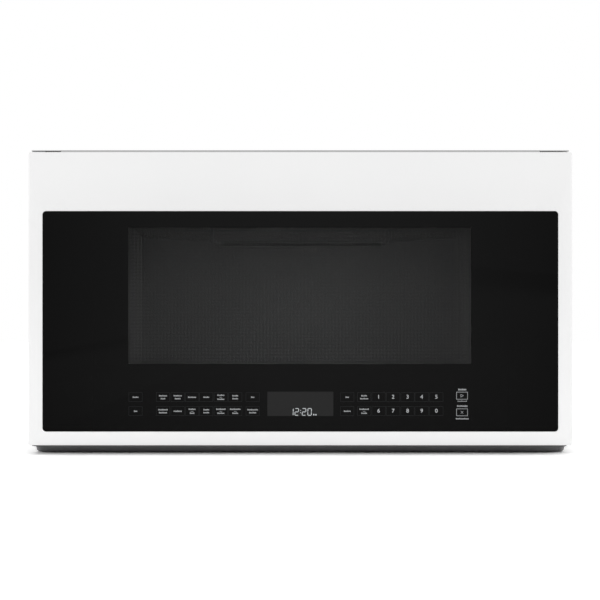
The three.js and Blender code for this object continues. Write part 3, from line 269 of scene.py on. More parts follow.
class Board:
    def __init__(self, tree):
        self.tree = tree

    def add(self, kind, settings=None, inputs=None, output=None):
        node = self.tree.nodes.new(kind)
        for name, value in (settings or {}).items():
            if name == "stops":
                ramp = node.color_ramp.elements
                for place, tone in value[2:]:
                    ramp.new(place).color = tone
                for element, (place, tone) in zip((ramp[0], ramp[-1]), value[:2]):
                    element.position = place
                    element.color = tone
            else:
                setattr(node, name, value)
        for key, value in (inputs or {}).items():
            for item in value if isinstance(value, list) and isinstance(value[0], Wire) else [value]:
                if isinstance(item, Wire):
                    self.tree.links.new(item.socket, node.inputs[key])
                else:
                    node.inputs[key].default_value = item
        if output is None:
            shown = [socket for socket in node.outputs if socket.enabled]
            return Wire(self, shown[0]) if shown else None
        return Wire(self, node.outputs[output])

    def math(self, operation, *values):
        return self.add("ShaderNodeMath", {"operation": operation}, dict(enumerate(values)))


print("boards are ready")

# %% [markdown]
# ## Finishes
# Paint, enamel, plastic and zinc differ less in colour than in their small surface: orange peel,
# grain, spangles, brushing. Each finish is therefore a colour that drifts a little, a gloss that
# drifts a little and a fine relief, all placed by the object's own coordinates.

# %% The base of every finish
def shade(code):
    """A colour as a painter writes it, in hexadecimal, turned into amounts of light."""
    parts = [int(code[start:start + 2], 16) / 255 for start in (0, 2, 4)]
    return [part / 12.92 if part <= 0.04045 else ((part + 0.055) / 1.055) ** 2.4 for part in parts] + [1.0]


class Finish(Board):
    def __init__(self, name):
        self.material = bpy.data.materials.new(name)
        self.material.use_nodes = True
        super().__init__(self.material.node_tree)
        self.tree.nodes.clear()
        self.place = self.add("ShaderNodeTexCoord", output="Object")

    def along(self, axis):
        """The object's own x, y or z, in millimetres."""
        return self.add("ShaderNodeSeparateXYZ", inputs={0: self.place}, output=axis) / MM

    def between(self, axis, start, end):
        """A ramp from 0 at one place along an axis to 1 at another."""
        return self.add("ShaderNodeMapRange", {"interpolation_type": "SMOOTHSTEP"},
                        {"Value": self.along(axis), "From Min": start, "From Max": end}, "Result")

    def stretched(self, amounts):
        return self.add("ShaderNodeMapping", inputs={"Vector": self.place, "Scale": amounts})

    def noise(self, size, detail=2.0, stretch=None):
        """Soft random values; size is the width of a lump in millimetres."""
        place = self.stretched(stretch) if stretch else self.place
        return self.add("ShaderNodeTexNoise", inputs={"Vector": place, "Scale": 1 / (size * MM), "Detail": detail})

    def cells(self, size, feature="F1", output="Distance"):
        return self.add("ShaderNodeTexVoronoi", {"feature": feature},
                        {"Vector": self.place, "Scale": 1 / (size * MM)}, output)

    def mix(self, amount, low, high):
        return self.add("ShaderNodeMix", {"data_type": "RGBA"}, {0: amount, 6: low, 7: high}, 2)

    def relief(self, height, depth, under=None):
        """A bump whose highest point stands so many millimetres proud."""
        inputs = {"Height": height, "Distance": depth * MM, "Strength": 1.0}
        if under:
            inputs["Normal"] = under
        return self.add("ShaderNodeBump", inputs=inputs)

    def close(self, tone, gloss, **sockets):
        names = {"metal": "Metallic", "normal": "Normal", "alpha": "Alpha", "coat": "Coat Weight",
                 "coat_gloss": "Coat Roughness", "specular": "Specular IOR Level", "ior": "IOR",
                 "through": "Transmission Weight"}
        inputs = {"Base Color": tone, "Roughness": gloss}
        inputs.update({names[name]: value for name, value in sockets.items()})
        shader = self.add("ShaderNodeBsdfPrincipled", inputs=inputs)
        self.add("ShaderNodeOutputMaterial", inputs={"Surface": shader})
        return self.material


finishes = {}
print("a mid grey is", round(shade("808080")[0], 3), "in light")

# %% [markdown]
# ### Enamel and paint
# The door is sprayed and baked: a satin white with a faint orange peel. The cabinet's powder coat is
# coarser, and the charcoal base is coarser again. All four share one recipe with other amounts.

# %% Sprayed and baked coats
def baked_paint(name, dark, light, peel, depth, gloss):
    coat = Finish(name)
    tone = coat.mix(coat.noise(120, 1.0), shade(dark), shade(light))
    surface = coat.relief(coat.noise(peel, 3.0), depth)
    return coat.close(tone, gloss + 0.10 * coat.noise(25, 2.0), normal=surface)


finishes["white_enamel"] = baked_paint("white_enamel", "EBEBEB", "EEEEEE", 1.4, 0.010, 0.26)
finishes["light_grey_paint"] = baked_paint("light_grey_paint", "C2C2C2", "C7C7C7", 0.9, 0.020, 0.40)
finishes["charcoal_paint"] = baked_paint("charcoal_paint", "3C3C3E", "424244", 0.8, 0.025, 0.42)
finishes["dark_paint"] = baked_paint("dark_paint", "262626", "2B2B2B", 0.7, 0.020, 0.55)

# %% [markdown]
# ### Cavity enamel
# Oven enamel is fired with grit in it, so light flecks lie in a grey ground. Two sizes of cells give
# flecks that never line up.

# %% Speckled enamel
def oven_enamel():
    coat = Finish("cavity_enamel")
    flecks = coat.cells(2.6) < 0.16
    pits = coat.cells(1.7) < 0.12
    ground = coat.mix(coat.noise(60), shade("6E6E6E"), shade("787878"))
    tone = coat.mix(pits * 0.6, coat.mix(flecks * 0.7, ground, shade("A8A8A8")), shade("3A3A3A"))
    return coat.close(tone, 0.22 + 0.15 * coat.noise(9), normal=coat.relief(coat.noise(2.2), 0.02))


finishes["cavity_enamel"] = oven_enamel()

# %% [markdown]
# ### Metals
# Zinc crystallises into spangles, cut aluminium and steel keep the lines of their rolling, and a
# winding shows its turns. Each is a metal whose gloss follows that pattern.

# %% Zinc, steel, aluminium and copper
def spangled_zinc():
    sheet = Finish("galvanised")
    spangle = sheet.add("ShaderNodeSeparateColor", inputs={0: sheet.cells(9, output="Color")})
    tone = sheet.mix(spangle, shade("A9ADB0"), shade("C3C6C8"))
    return sheet.close(tone, 0.30 + 0.22 * spangle, metal=0.9, normal=sheet.relief(sheet.noise(5), 0.01))


def rolled_metal(name, dark, light, gloss, stretch):
    sheet = Finish(name)
    lines = sheet.noise(0.35, 4.0, stretch)
    tone = sheet.mix(sheet.noise(30), shade(dark), shade(light))
    return sheet.close(tone, gloss + 0.2 * lines, metal=1.0, normal=sheet.relief(lines, 0.004))


def winding():
    coil = Finish("copper")
    turns_with_groove_shade = coil.add("ShaderNodeTexWave", {"wave_type": "BANDS", "bands_direction": "Z"},
                     {"Vector": coil.place, "Scale": 1 / (4.4 * MM), "Distortion": 0.4, "Detail": 1.0}, "Fac")
    # The dark part of each band is painted shade in the groove between two turns.
    tone = coil.mix(turns_with_groove_shade, shade("5E2A12"), shade("B4632C"))
    return coil.close(tone, 0.28, metal=0.9, coat=0.4, normal=coil.relief(turns_with_groove_shade, 0.25))


finishes["galvanised"] = spangled_zinc()
finishes["steel"] = rolled_metal("steel", "9A9C9E", "ACAEB0", 0.30, [0.04, 1.0, 1.0])
finishes["aluminium"] = rolled_metal("aluminium", "B9BBBD", "CBCDCF", 0.26, [1.0, 0.05, 1.0])
finishes["copper"] = winding()

# %% [markdown]
# ### Plastics, board, mica and carbon
# Moulded plastic copies the etched grain of its mould. The board carries traces under green lacquer,
# mica splits into flakes, and the odour filter holds black granules behind a mesh.

# %% Moulded grain
def moulded(name, dark, light, grain, depth, gloss):
    plastic = Finish(name)
    tone = plastic.mix(plastic.noise(45), shade(dark), shade(light))
    surface = plastic.relief(plastic.cells(grain, "SMOOTH_F1"), depth)
    return plastic.close(tone, gloss + 0.12 * plastic.noise(18), normal=surface)


finishes["dark_plastic"] = moulded("dark_plastic", "222224", "28282A", 0.7, 0.02, 0.42)
finishes["grey_plastic"] = moulded("grey_plastic", "B4B4B4", "BABABA", 0.8, 0.02, 0.40)
finishes["white_plastic"] = moulded("white_plastic", "DBDBD7", "E2E2DE", 1.2, 0.01, 0.30)

# %% Lacquered board, mica and granules
def lacquered_board():
    board = Finish("circuit_board")
    lanes = board.cells(5.5, "DISTANCE_TO_EDGE") < 0.07
    dots = board.cells(3.2) < 0.14
    green = board.mix(lanes, shade("0F4A24"), shade("1D6B36"))
    return board.close(board.mix(dots, green, shade("B9B6A8")), 0.3, coat=0.5, normal=board.relief(lanes, 0.05))


def mica_sheet():
    sheet = Finish("mica")
    flakes = sheet.add("ShaderNodeSeparateColor", inputs={0: sheet.cells(4.5, output="Color")})
    tone = sheet.mix(flakes, shade("A8956F"), shade("D2C29C"))
    return sheet.close(tone, 0.35 + 0.2 * flakes, normal=sheet.relief(flakes, 0.03))


def granules():
    bed = Finish("carbon")
    grain = bed.cells(2.2)
    # Each granule is lighter in its middle and darker where it meets the next: the dark gaps are painted shade.
    return bed.close(bed.mix(grain, shade("303032"), shade("131314")), 0.7, normal=bed.relief(1 - grain, 0.8))


finishes["circuit_board"] = lacquered_board()
finishes["mica"] = mica_sheet()
finishes["carbon"] = granules()

# %% [markdown]
# ### Glass
# Clear glass is drawn as a thin tint with a sharp gloss, which is quick and keeps the oven visible
# behind it. The door's glass has black print on its back: the print leaves out the window, and the
# display shows as a smoked patch. Both are masks on the glass's own x and z. The black print is painted
# lighter in its middle as a painted sheen, and the window's tint is painted lighter low down and towards
# its sides as painted light.

# %% Clear glass and the printed door glass
window_x = (-240.2, 238.5)
window_z = (-86.5, 104.4)
display_x, _, display_z = span("display_module")


def clear_glass():
    glass = Finish("clear_glass")
    smear = glass.noise(35, 3.0)
    return glass.close(shade("E2E5E4"), 0.03 + 0.06 * smear, alpha=0.16 + 0.04 * smear, specular=0.6)


def printed_glass():
    glass = Finish("black_glass")
    x = glass.along("X")
    z = glass.along("Z")
    window = x.within(*window_x) * z.within(*window_z)
    display = x.within(*display_x) * z.within(*display_z)
    # The print is painted lighter in its middle than at its ends: a painted sheen.
    middle = 1 - x * x / (360 * 360)
    ink = glass.mix(display, glass.mix(middle, shade("020202"), shade("0E0E0E")), shade("272727"))
    # The window's tint is painted lighter towards its sides and low down: painted light added to its plain dark tint.
    edge = glass.add("ShaderNodeMapRange", {"interpolation_type": "SMOOTHSTEP"},
                     {"Value": x * x, "From Min": 205.0 ** 2, "From Max": 243.0 ** 2}, "Result")
    painted_low_light = glass.between("Z", 75.0, 0.0)
    tint_and_painted_light = 0.12 + 0.15 * painted_low_light + edge * (0.2 + 0.12 * painted_low_light)
    tone = glass.mix(window, ink, glass.mix(tint_and_painted_light, shade("060606"), shade("606060")))
    gloss = 0.03 + 0.03 * glass.noise(60, 3.0)
    return glass.close(tone, gloss, alpha=1 - 0.88 * window, specular=0.072)


finishes["clear_glass"] = clear_glass()
finishes["black_glass"] = printed_glass()
print(len(finishes), "finishes")

# %% Give every CAD node the finish of its slot
slot_of = {part["node"]: part["material_slot"] for part in frame["record"]["subparts"]}
for node, slot in slot_of.items():
    paint = frame["nodes"][node].data.materials
    paint.clear()
    paint.append(finishes[slot])

# %% [markdown]
# ## Placing a piece
# Each finished piece rides on a body, takes the finish of its slot, and may stand for CAD nodes, which
# are then hidden. A small live bevel catches light along the edges of folded sheet.

# %% One call that finishes a piece
def piece(name, mesh, body, slot, replaced=(), soften=0.0, sharp=35):
    thing = bpy.data.objects.new(name, mesh)
    bpy.context.collection.objects.link(thing)
    mesh.materials.clear()
    mesh.materials.append(finishes[slot])
    for face in mesh.polygons:
        face.use_smooth = True
        face.material_index = 0
    mesh.set_sharp_from_angle(angle=math.radians(sharp))
    if soften:
        bevel = thing.modifiers.new("edges", "BEVEL")
        bevel.width = soften * MM
        bevel.segments = 2
        bevel.limit_method = "ANGLE"
        bevel.angle_limit = math.radians(sharp)
        bevel.use_clamp_overlap = False
        bevel.harden_normals = True
    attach(thing, body)
    if replaced:
        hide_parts(*replaced)
    return thing


def body_of(node):
    return next(name for name, nodes in frame["record"]["behaviour"]["bodies"].items() if node in nodes)


def softened(node, width):
    """A CAD node drawn again with its edges broken."""
    return piece(node + "_edged", copy_of(node), body_of(node), slot_of[node], (node,), width)


# %% [markdown]
# ## The door's shell
# The shell is one pressed frame: a wide flat face round the glass, a thin turned edge at the
# opening, and walls that run back. Rings go from the opening's edge over the face, round the
# outside and back inside to a ledge that carries the glass. The handle pocket and the two hinge
# pins then get their holes.

# %% The white door shell
def door_ring(grow, depth, steps=6):
    return rounded(grown(door_x, grow), grown(door_z, grow), 3.0 + max(grow, -2.0), depth, steps)


def glass_ring(grow, depth, steps=6):
    return rounded(grown(glass_x, grow), grown(glass_z, grow), max(4.7 + grow, 0.6), depth, steps)


front = door_y[0]
back = door_y[1]
shell = loft([
    glass_ring(0.35, front + 4.3), glass_ring(0.35, front + 0.35), glass_ring(0.45, front + 0.1),
    glass_ring(0.7, front),
    door_ring(-1.6, front), door_ring(-0.47, front + 0.47), door_ring(0.0, front + 1.6),
    door_ring(0.0, back - 0.8), door_ring(-0.8, back), door_ring(-3.0, back),
    door_ring(-3.0, front + 6.8), glass_ring(-8.0, front + 6.8), glass_ring(-8.0, front + 4.3),
], closed=True)
cup_x, cup_y, cup_z = span("handle_cup")
pin_x, pin_y = -372.5, -376.0
shell = carved(shell, [
    block((cup_x[0] - 0.3, door_x[1] + 1), grown(cup_y, 0.3), grown(cup_z, 0.3)),
    rod("z", (pin_x, pin_y), 2.8, (door_z[1] - 20, door_z[1] + 1)),
    rod("z", (pin_x, pin_y), 2.8, (door_z[0] - 1, door_z[0] + 20)),
])
door_shell = piece("door_shell", shell, "door", "white_enamel", ("door_frame",))
print("door shell faces:", len(shell.polygons))

# %% [markdown]
# ## The door's glass
# A pane with polished edges lies a hair behind the face. Its print is part of the finish, so the
# mesh stays a simple slab.

# %% The pane
pane = loft([
    glass_ring(-0.25, front + 0.1), glass_ring(0.15, front + 0.25), glass_ring(0.25, front + 0.6),
    glass_ring(0.25, glass_y[1]),
])
piece("door_pane", pane, "door", "black_glass", ("door_glass",))

# %% [markdown]
# ## Touch keys
# The keys are print on the glass: short words, number keys and a clock. Words are not copied. A row
# of small blocks stands for each, one for a letter, laid out by a geometry tree that stamps one thin
# plate on each point of a mesh, scaled by the point's own size.

# %% A tree that stamps one shape on every point
def geometry_tree(name, **sockets):
    group = bpy.data.node_groups.new(name, "GeometryNodeTree")
    group.interface.new_socket("Geometry", in_out="INPUT", socket_type="NodeSocketGeometry")
    group.interface.new_socket("Geometry", in_out="OUTPUT", socket_type="NodeSocketGeometry")
    for label, kind in sockets.items():
        group.interface.new_socket(label, in_out="INPUT", socket_type="NodeSocket" + kind)
    board = Board(group)
    group.nodes.new("NodeGroupInput")
    return board


def given(board, label):
    return Wire(board, board.tree.nodes["Group Input"].outputs[label])


def finished(board, geometry):
    """Ends a tree: real faces instead of instances, with the finish on them."""
    real = board.add("GeometryNodeRealizeInstances", inputs={"Geometry": geometry})
    painted = board.add("GeometryNodeSetMaterial", inputs={"Geometry": real, "Material": given(board, "Finish")})
    board.add("NodeGroupOutput", inputs={"Geometry": painted})


def run(board, mesh, **values):
    """Runs a tree on a mesh and returns the plain mesh it makes."""
    host = helper(mesh)
    nodes = host.modifiers.new("nodes", "NODES")
    nodes.node_group = board.tree
    for item in board.tree.interface.items_tree:
        if item.in_out == "INPUT" and item.name in values:
            nodes[item.identifier] = values[item.name]
    return settled(host)


stamps = geometry_tree("stamps", Shape="Object", Finish="Material")
stamp_shape = stamps.add("GeometryNodeObjectInfo", inputs={"Object": given(stamps, "Shape")}, output="Geometry")
stamp_size = stamps.add("GeometryNodeInputNamedAttribute", {"data_type": "FLOAT_VECTOR"}, {"Name": "size"})
stamp_turn = stamps.add("GeometryNodeInputNamedAttribute", {"data_type": "FLOAT_VECTOR"}, {"Name": "turn"})
finished(stamps, stamps.add("GeometryNodeInstanceOnPoints", inputs={
    "Points": given(stamps, "Geometry"), "Instance": stamp_shape,
    "Rotation": stamp_turn, "Scale": stamp_size}))


def stamped(shape, marks, slot):
    """One copy of a shape at each mark; a mark is a place, a size and a turn in radians."""
    points = mesh_of([place for place, _, _ in marks], [])
    for label, values in (("size", [size for _, size, _ in marks]), ("turn", [turn for _, _, turn in marks])):
        layer = points.attributes.new(label, "FLOAT_VECTOR", "POINT")
        layer.data.foreach_set("vector", [number for value in values for number in value])
    pattern = helper(shape)
    mesh = run(stamps, points, Shape=pattern, Finish=finishes[slot])
    bpy.data.objects.remove(pattern)
    return mesh


# %% Where the print lies
print_y = (front + 0.05, front + 0.1)


def glass_print(outlines):
    """Flat shapes, given as (x, z) outlines, as one thin print on the pane."""
    return joined([loft([[(x, depth, z) for x, z in outline] for depth in print_y]) for outline in outlines])


print("print lies at y", print_y)

# %% [markdown]
# The print itself is a pale grey ink that does not shine. It is brighter than the words seem to be,
# because they are too fine for the eye to split.

# %% Pale ink
def pale_ink(name, dark, light):
    ink = Finish(name)
    return ink.close(ink.mix(ink.noise(3.0), shade(dark), shade(light)), 0.5 + 0.1 * ink.noise(5.0), specular=0.2)


finishes["ink"] = pale_ink("ink", "A6A8AA", "B2B4B6")
finishes["faint"] = pale_ink("faint", "A2A4A6", "B0B2B4")

# %% Words as rows of small blocks
words = []
letter_pitch = 1.66
print_middle = sum(print_y) / 2


def word(x, z, letters, tall=1.0):
    """One block for each letter of a word, the first one taller, centred on x."""
    for place in range(letters):
        across = x + (place - (letters - 1) / 2) * letter_pitch
        rise = 0.4 if place == 0 or place % 4 == 3 else 0.0
        words.append(((across, print_middle, z + rise / 2), (1.05, 1.0, tall * (1.6 + rise)), (0.0, 0.0, 0.0)))


def label(x, z, lines):
    """Words under each other; a nought between two words is a dash."""
    pitch = 4.1 if len(lines) == 2 else 2.8
    for line, letters in enumerate(lines):
        level = z + ((len(lines) - 1) / 2 - line) * pitch
        if letters:
            word(x, level, letters)
        else:
            words.append(((x, print_middle, level), (3.6, 1.0, 0.4), (0.0, 0.0, 0.0)))


upper_row = -132.9
lower_row = -152.4
columns = [-230.0, -191.7, -171.2, -151.1, -131.3, -111.0, -90.9, -66.6, 65.4, 89.0]
letters_high = [[5], [7, 4], [7, 5], [7], [5], [6, 0, 6], [5, 5], [3], [3], [5, 7]]
letters_low = [[3], [8, 7], [7], [6, 0, 4], [5, 5], [8, 0, 6], [9, 0, 5], [9, 6], [6], [8, 0, 5]]
for x, high, low in zip(columns, letters_high, letters_low):
    label(x, upper_row, high)
    label(x, lower_row, low)
block_mark = block((-0.5, 0.5), (-0.025, 0.025), (-0.5, 0.5))
print(len(words), "blocks so far")

# %% Numbers
def figures(text, x, z, height):
    """Plain sans figures centred on a place, as flat print."""
    curve = bpy.data.curves.new("figures", "FONT")
    curve.body = text
    curve.size = height * 1.40 * MM
    curve.align_x = "CENTER"
    curve.align_y = "CENTER"
    curve.offset = 0.11 * MM
    curve.extrude = 0.025 * MM
    host = bpy.data.objects.new("figures", curve)
    bpy.context.collection.objects.link(host)
    mesh = settled(host)
    mesh.transform(Matrix.Translation(Vector((x, print_middle, z)) * MM) @ Matrix.Rotation(math.pi / 2, 4, "X"))
    return mesh


key_columns = [109.2, 129.4, 149.6, 169.3, 189.8]
numbers = [figures(text, x, upper_row + 0.5, 5.4) for text, x in zip("12345", key_columns)]
numbers += [figures(text, x, lower_row + 0.5, 5.4) for text, x in zip("67890", key_columns)]
print(len(numbers), "number keys")

# %% [markdown]
# The two last keys are boxed: a triangle starts the oven and a cross stops it. The clock is made of
# seven slanted bars for each figure, with the bars that a figure leaves dark left out.

# %% Boxed keys
def box_lines(x, z, width, height, line):
    left, right, low, high = x - width / 2, x + width / 2, z - height / 2, z + height / 2
    return [
        [(left, high - line), (right, high - line), (right, high), (left, high)],
        [(left, low), (right, low), (right, low + line), (left, low + line)],
        [(left, low + line), (left + line, low + line), (left + line, high - line), (left, high - line)],
        [(right - line, low + line), (right, low + line), (right, high - line), (right - line, high - line)],
    ]


key_x = 225.9
start_z = -130.6
stop_z = -153.8
fine_line = 0.5
symbols = box_lines(key_x - 0.3, start_z, 15.9, 10.4, fine_line)
symbols += box_lines(key_x - 0.3, stop_z, 15.9, 10.2, fine_line)


def stroke(begin, end, line):
    """A straight line of print between two (x, z) points."""
    along = Vector(end) - Vector(begin)
    side = Vector((-along.y, along.x)).normalized() * line / 2
    return [tuple(Vector(begin) - side), tuple(Vector(end) - side), tuple(Vector(end) + side),
            tuple(Vector(begin) + side)]


arrow = [(key_x - 2.0, start_z - 2.0), (key_x + 1.7, start_z), (key_x - 2.0, start_z + 2.0)]
symbols += [stroke(arrow[corner], arrow[corner - 1], 0.5) for corner in range(3)]
symbols += [stroke((key_x - 1.9, stop_z - lean * 1.7), (key_x + 1.5, stop_z + lean * 1.7), 0.42) for lean in (-1, 1)]
word(key_x, start_z + 8.4, 7, 1.3)
word(key_x, start_z - 7.9, 8, 0.6)
word(key_x, stop_z + 8.6, 9, 1.1)
word(key_x, stop_z - 9.1, 11, 1.0)
key_outlines = []
for x in columns + key_columns:
    key_outlines += box_lines(x, upper_row + 0.3, 19.0, 12.8, 0.32)
    key_outlines += box_lines(x, lower_row + 0.3, 19.0, 12.8, 0.32)
print(len(words), "blocks and", len(key_outlines), "outline bars")

# %% Clock figures
def clock_figure(bars, x, base, width, height, thick, slant):
    """The lit bars of one figure: a top, b and c right, d foot, e and f left, g middle."""
    half = thick / 2
    gap = 0.18
    middle = height / 2
    flat = [(gap, 0), (gap + half, half), (width - gap - half, half), (width - gap, 0),
            (width - gap - half, -half), (gap + half, -half)]
    upright = [(0, gap), (half, gap + half), (half, middle - gap - half), (0, middle - gap),
               (-half, middle - gap - half), (-half, gap + half)]
    starts = {"a": (flat, 0, height), "g": (flat, 0, middle), "d": (flat, 0, 0), "e": (upright, 0, 0),
              "f": (upright, 0, middle), "c": (upright, width, 0), "b": (upright, width, middle)}
    shapes = []
    for bar in bars:
        outline, over, up = starts[bar]
        shapes.append([(x + u + over + (v + up) * slant, base + v + up) for u, v in outline])
    return shapes


clock = []
clock_base = -158.0
lit = {"1": "bc", "2": "abged", "0": "abcdef"}
for figure, place in zip("1220", (-15.1, -7.6, 2.5, 10.3)):
    clock += clock_figure(lit[figure], place, clock_base, 4.95, 9.5, 1.0, 0.03)
for rise in (3.2, 6.4):
    clock.append([(-0.2, clock_base + rise), (0.8, clock_base + rise), (0.8, clock_base + rise + 1.0),
                  (-0.2, clock_base + rise + 1.0)])
clock += [[(x, clock_base - 0.2), (x + 1.6, clock_base - 0.2), (x + 1.6, clock_base + 1.8), (x, clock_base + 1.8)]
          for x in (18.0, 20.9)]
print(len(clock), "clock bars")

# %% Put the print on the pane
finishes["lit"] = pale_ink("lit", "BCC0C2", "C4C8CA")


def on_glass(name, mesh, ink):
    thing = piece(name, mesh, "door", "black_glass", sharp=60)
    mesh.materials[0] = finishes[ink]
    return thing


finishes["dim"] = pale_ink("dim", "1E1F20", "242526")
on_glass("key_words", stamped(block_mark, words, "dark_plastic"), "faint")
on_glass("key_outlines", glass_print(key_outlines), "dim")
on_glass("key_numbers", joined(numbers), "ink")
on_glass("key_symbols", glass_print(symbols), "ink")
on_glass("clock_figures", glass_print(clock), "lit")

# %% [markdown]
# ## The window's screen
# Behind the glass a sheet with thousands of small holes keeps the microwaves in. Cutting them would
# take hundreds of thousands of faces, while two crossed rows of fine bars look the same and take
# four thousand. One tree lays a row of bars; it serves the grille and the filters as well.

# %% A tree that lays a row of bars
bars = geometry_tree("row_of_bars", Count="Int", Start="Vector", Step="Vector", Bar="Vector",
                     Tilt="Vector", Finish="Material")
bar_places = bars.add("GeometryNodeMeshLine", {"mode": "OFFSET"}, {
    "Count": given(bars, "Count"), "Start Location": given(bars, "Start"), "Offset": given(bars, "Step")})
one_bar = bars.add("GeometryNodeMeshCube", inputs={"Size": given(bars, "Bar")})
finished(bars, bars.add("GeometryNodeInstanceOnPoints", inputs={
    "Points": bar_places, "Instance": one_bar, "Rotation": given(bars, "Tilt")}))


def row_of_bars(count, start, step, bar, slot, tilt=(0.0, 0.0, 0.0)):
    """Bars of one size in a row; all lengths in millimetres."""
    return run(bars, mesh_of([(0, 0, 0)], []), Count=count, Start=[value * MM for value in start],
               Step=[value * MM for value in step], Bar=[value * MM for value in bar], Tilt=tilt,
               Finish=finishes[slot])


# %% Two crossed rows for the screen
screen_x, screen_y, screen_z = span("window_screen")
mesh_pitch = 2.0
screen_width = screen_x[1] - screen_x[0]
screen_height = screen_z[1] - screen_z[0]
upright_count = int(screen_width / mesh_pitch)
level_count = int(screen_height / mesh_pitch)
screen_paint = Finish("screen_paint")
screen_paint.close(screen_paint.mix(screen_paint.noise(80), shade("151515"), shade("181818")),
                   0.5 + 0.2 * screen_paint.noise(3.0), specular=0.18)
screen_mesh = joined([
    row_of_bars(upright_count, (screen_x[0] + 1, screen_y[0] + 0.2, sum(screen_z) / 2),
                (screen_width / upright_count, 0, 0), (0.9, 0.36, screen_height), "dark_paint"),
    row_of_bars(level_count, (sum(screen_x) / 2, screen_y[0] + 0.58, screen_z[0] + 1),
                (0, 0, screen_height / level_count), (screen_width, 0.36, 0.9), "dark_paint"),
])
screen = piece("window_mesh", screen_mesh, "door", "dark_paint", ("window_screen",))
screen.data.materials[0] = screen_paint.material
print(upright_count, "upright and", level_count, "level bars")

# %% [markdown]
# ## Behind the door's glass
# The inner panel, the cover of the choke groove, the inner window, the handle cup and the latch are
# right as the CAD has them, apart from their sharp edges. Each is drawn again with a fine bevel.

# %% Inner door pieces
for node, width in (("choke_cover", 0.6), ("inner_window", 0.4), ("handle_cup", 0.7), ("latch_lever", 0.5),
                    ("display_module", 0.5)):
    softened(node, width)
panel_x, panel_y, panel_z = span("door_inner_panel")
panel = carved(copy_of("door_inner_panel"), [
    block(grown(window_x, 7.5), (screen_y[1] + 0.1, panel_y[1] + 1), grown(window_z, 7.5))])
piece("inner_panel", panel, "door", "charcoal_paint", ("door_inner_panel",), 0.35)

# %% [markdown]
# ## The cabinet's wrap
# One sheet is bent over the top and down both sides. Its section is a thin arch with a bend radius
# at each shoulder, drawn along the depth. The sides end at the front frame, the top reaches on over
# the door, and the grille's notch and the bolt holes are cut last.

# %% Bent sheet over sides and top
def bend(centre, radius, start, steps=5):
    return [(centre[0] + radius * math.cos(math.radians(start + 90 * step / steps)),
             centre[1] + radius * math.sin(math.radians(start + 90 * step / steps))) for step in range(steps + 1)]


sheet = 1.2
shoulder = 2.8
half = wrap_x[1]
crown = wrap_z[1]
right_bend = (half - shoulder, crown - shoulder)
left_bend = (-half + shoulder, crown - shoulder)
arch = [(half, wrap_z[0])] + bend(right_bend, shoulder, 0) + bend(left_bend, shoulder, 90) + [(-half, wrap_z[0])]
arch += [(-half + sheet, wrap_z[0])] + bend(left_bend, shoulder - sheet, 90)[::-1]
arch += bend(right_bend, shoulder - sheet, 0)[::-1] + [(half - sheet, wrap_z[0])]
wrap = loft([[(x, depth, z) for x, z in arch] for depth in wrap_y])
frame_face = span("front_frame")[1][0]
grille_x, grille_y, grille_z = span("vent_grille")
bushing_x, bushing_y, bushing_z = span("cord_bushing")
bushing = (sum(bushing_x) / 2, sum(bushing_y) / 2)
screw_seats = [(y, -190.0) for y in (-330.0, -180.0, -30.0)]
wrap = carved(wrap, [
    rod("x", seat, 4.3, ends, 20) for seat in screw_seats for ends in ((half - 3, half + 1), (-half - 1, -half + 3))
] + [
    block((-400, 400), (wrap_y[0] - 1, frame_face), (wrap_z[0] - 1, crown - sheet - 0.05)),
    block(grown(grille_x, 0.3), (wrap_y[0] - 5, grille_y[1] + 0.3), (crown - 12, crown + 5)),
    rod("z", (-half + 90, -230), 5, (crown - 5, crown + 5)),
    rod("z", (half - 90, -230), 5, (crown - 5, crown + 5)),
    rod("z", bushing, 14.3, (crown - 5, crown + 5), 32),
])
piece("cabinet_wrap", wrap, "cabinet", "light_grey_paint", ("outer_wrap",), sharp=30)
print("wrap faces:", len(wrap.polygons))

# %% [markdown]
# ## The top grille
# Air leaves through slots over the door. The moulding's channel is the CAD's; thin tilted blades lie
# under its slots, laid by the same tree as the screen's bars.

# %% Grille and blades
softened("vent_grille", 0.5)
slot_bar = 8.0
row_pitch = (66 - slot_bar) / 2
blades = []
for row in range(2):
    first = frame_face + slot_bar + row * row_pitch + 2.5
    blades.append(row_of_bars(4, (0, first, crown - 3.9), (0, 5.2, 0), (grille_x[1] * 2 - 6, 1.0, 5.0),
                              "grey_plastic", (math.radians(32), 0.0, 0.0)))
piece("grille_blades", joined(blades), "cabinet", "grey_plastic")

# %% [markdown]
# ## The sheet-metal carcass
# Front frame, rear panel, wall plate, hinges, charcoal filter and the cavity's pressings are drawn
# again with broken edges. The wall plate is a rougher zinc than the panel. The lower hinge alone is
# blackened, as painted shade under the door, while the upper one stays steel.
# The cavity's back also gets a short row of air slots near its top, with a thin turned louvre at each.

# %% Broken edges on the carcass
for node, width in (("front_frame", 0.3), ("rear_panel", 0.3), ("cavity_shell", 0.3), ("cooktop_lamp", 0.5),
                    ("latch_board", 0.5), ("waveguide_cover", 0.2), ("charcoal_filter", 1.2)):
    softened(node, width)

# %% Wall plate and hinges
def blackened_steel():
    steel = Finish("blackened_steel")
    worn = steel.noise(12, 4.0)
    tone = steel.mix(worn, shade("232325"), shade("333336"))
    return steel.close(tone, 0.45 + 0.2 * worn, metal=0.4, normal=steel.relief(steel.noise(0.8), 0.01))


def plate_zinc():
    sheet = Finish("plate_zinc")
    spangle = sheet.add("ShaderNodeSeparateColor", inputs={0: sheet.cells(4, output="Color")})
    rolled = sheet.noise(0.8, 3.0, [0.03, 1.0, 1.0])
    tone = sheet.mix(0.6 * spangle + 0.4 * rolled, shade("83888C"), shade("9FA4A8"))
    return sheet.close(tone, 0.36 + 0.15 * rolled, metal=0.85, normal=sheet.relief(rolled, 0.006))


softened("wall_plate", 0.5).data.materials[0] = plate_zinc()
black_steel = blackened_steel()
softened("hinge_upper", 0.4)
# The lower hinge alone gets the blackened finish: painted shade in the dark corner under the door.
softened("hinge_lower", 0.4).data.materials[0] = black_steel

